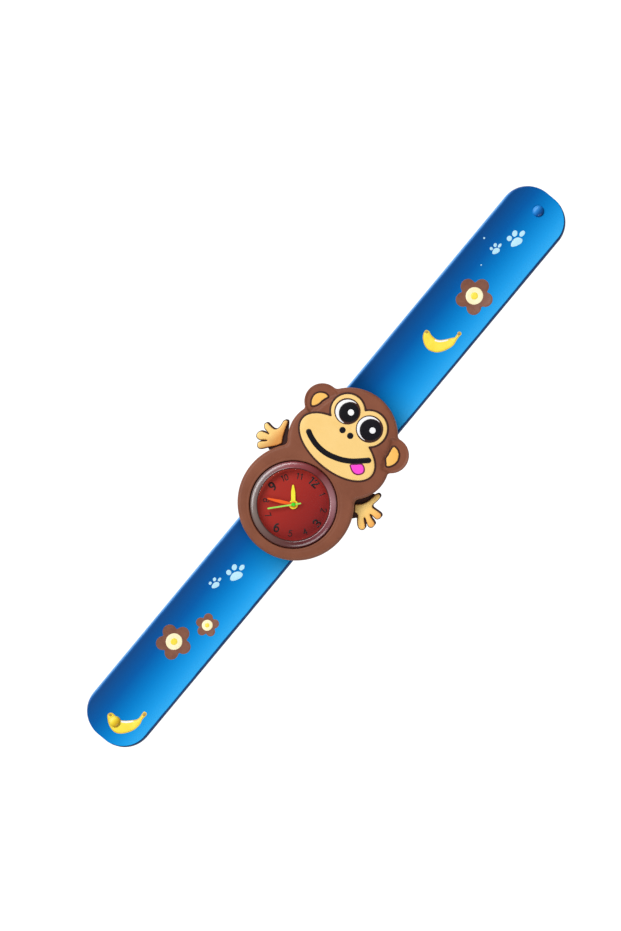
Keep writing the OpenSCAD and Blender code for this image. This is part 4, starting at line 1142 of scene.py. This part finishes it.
def flower(name, cx, cy, r, turn):
    """A plain round flower: five petals and a pale middle."""
    petals = [circle((cx + 0.62 * r * math.cos(math.radians(turn + 72 * i)), cy + 0.62 * r * math.sin(math.radians(turn + 72 * i)), 0.385 * r)) for i in range(5)]
    b = (cx - r - 0.5, cy - r - 0.5, cx + r + 0.5, cy + r + 0.5)
    print_on_band(name + "_petals", soft_union(0.12 * r, circle((cx, cy, 0.5 * r)), *petals), b, COCO)
    print_on_band(name + "_middle", circle((cx, cy, r * 0.46)), b, CREAM, lift=0.05)
    print_on_band(name + "_heart", circle((cx, cy, r * 0.2)), b, YELLOW, lift=0.075)


flower("flower_a", 2.0, 72.3, 6.2, 20)
flower("flower_b", 3.6, -63.4, 3.9, 50)
flower("flower_c", -1.4, -74.2, 5.9, 10)


def nub(name, c, side, mat):
    prof = []
    for a in np.linspace(0, math.pi / 2, 9):
        prof.append((1.76 * math.cos(a), 0.25 + 0.75 * math.sin(a)))
    prof = [(1.92, -0.05), (1.83, 0.04), (1.78, 0.14)] + prof
    prof[-1] = (0.0001, prof[-1][1])
    n = 48
    V = []
    F = []
    m = len(prof)
    for i in range(n):
        a = 2 * math.pi * i / n
        for r, z in prof:
            V.append((c[0] + r * math.cos(a), c[1] + r * math.sin(a), THICK / 2 + z))
    for i in range(n):
        j = (i + 1) % n
        for k in range(m - 1):
            F.append((i * m + k, j * m + k, j * m + k + 1, i * m + k + 1))
    ob = new_object(name, bend_mark(np.array(V)) * MM, F, mat)
    clean(ob, 1e-7)
    band_blend(ob, side)


nub("band_dome_upper", (0.4, 106.2), "upper", DOME_PAINTED_LIGHT)
nub("band_dome_lower", (0.5, -106.0), "lower", DOME_Y_PAINTED_LIGHT)

# ------------------------------------------------------------------ CAD nodes that stay

KEEP = {"case_cup": MAROON, "case_back": STEEL, "movement_holder": WHITEPL, "dial_plate": DIAL_PAINTED_LIGHT,
        "main_plate": BLACKPL, "train_bridge": STEEL, "bridge_screws": STEEL, "stator": IRON, "coil_core": IRON,
        "coil_winding": COPPER, "circuit_board": BOARD, "quartz_can": STEEL, "battery": STEEL, "battery_clip": BRASS,
        "rotor": MAGNET, "fifth_wheel": IVORY, "third_wheel": IVORY, "minute_wheel": IVORY, "seconds_wheel": BRASS,
        "centre_wheel": BRASS, "hour_wheel": BRASS, "setting_lever": STEEL, "setting_stem": STEEL, "crown_knob": STEEL}
for nm, mat in KEEP.items():
    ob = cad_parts[nm]
    if not ob.material_slots:
        continue
    for sl in ob.material_slots:
        sl.material = mat

# ------------------------------------------------------------------ stage, light, camera

floor_mat = material("floor_white", [0.26, 0.26, 0.26], [0.255, 0.255, 0.255], rough=0.8, scale=4, bump=0.0, spec=0.0)
floor_bsdf = floor_mat.node_tree.nodes["Principled BSDF"]
floor_bsdf.inputs["Emission Color"].default_value = (1, 1, 1, 1)
floor_bsdf.inputs["Emission Strength"].default_value = 0.88
# the floor lies below the loop that the curled band makes, so that it stays in view
bpy.ops.mesh.primitive_plane_add(size=30, location=(0, 0, -0.085))
floor = bpy.context.object
floor.name = "floor"
floor.data.materials.append(floor_mat)

world = bpy.data.worlds.new("studio")
bpy.context.scene.world = world
world.use_nodes = True
world.node_tree.nodes["Background"].inputs["Color"].default_value = (1, 1, 1, 1)
world.node_tree.nodes["Background"].inputs["Strength"].default_value = 0.2


def area(name, loc, target, size_x, size_y, power):
    li = bpy.data.lights.new(name, "AREA")
    li.shape = "RECTANGLE"
    li.energy = power
    li.size = size_x
    li.size_y = size_y
    ob = bpy.data.objects.new(name, li)
    COL.objects.link(ob)
    ob.location = loc
    d = Vector(target) - Vector(loc)
    ob.rotation_euler = d.to_track_quat("-Z", "Y").to_euler()
    return ob


area("key", (-0.88, 0.05, 1.02), (0, 0, 0), 2.0, 0.5, 20.8)
area("fill", (0.95, -0.45, 0.82), (0, 0, 0), 1.0, 0.6, 7.2)

cam_data = bpy.data.cameras.new("camera")
cam = bpy.data.objects.new("camera", cam_data)
COL.objects.link(cam)
bpy.context.scene.camera = cam
cam_data.sensor_width = 36
cam_data.sensor_fit = "AUTO"
cam_data.lens = 200
frame_h = 0.2972
dist = frame_h / 2 / (18 / 200)
cam_data.clip_end = 20
cam.location = (-3.74 * MM, -2.95 * MM, 0.007 + dist)
cam.rotation_euler = (0, 0, math.atan2(0.6397, 0.7686) - 0.0012)

sc = bpy.context.scene
sc.view_settings.view_transform = "Standard"
sc.view_settings.look = "None"
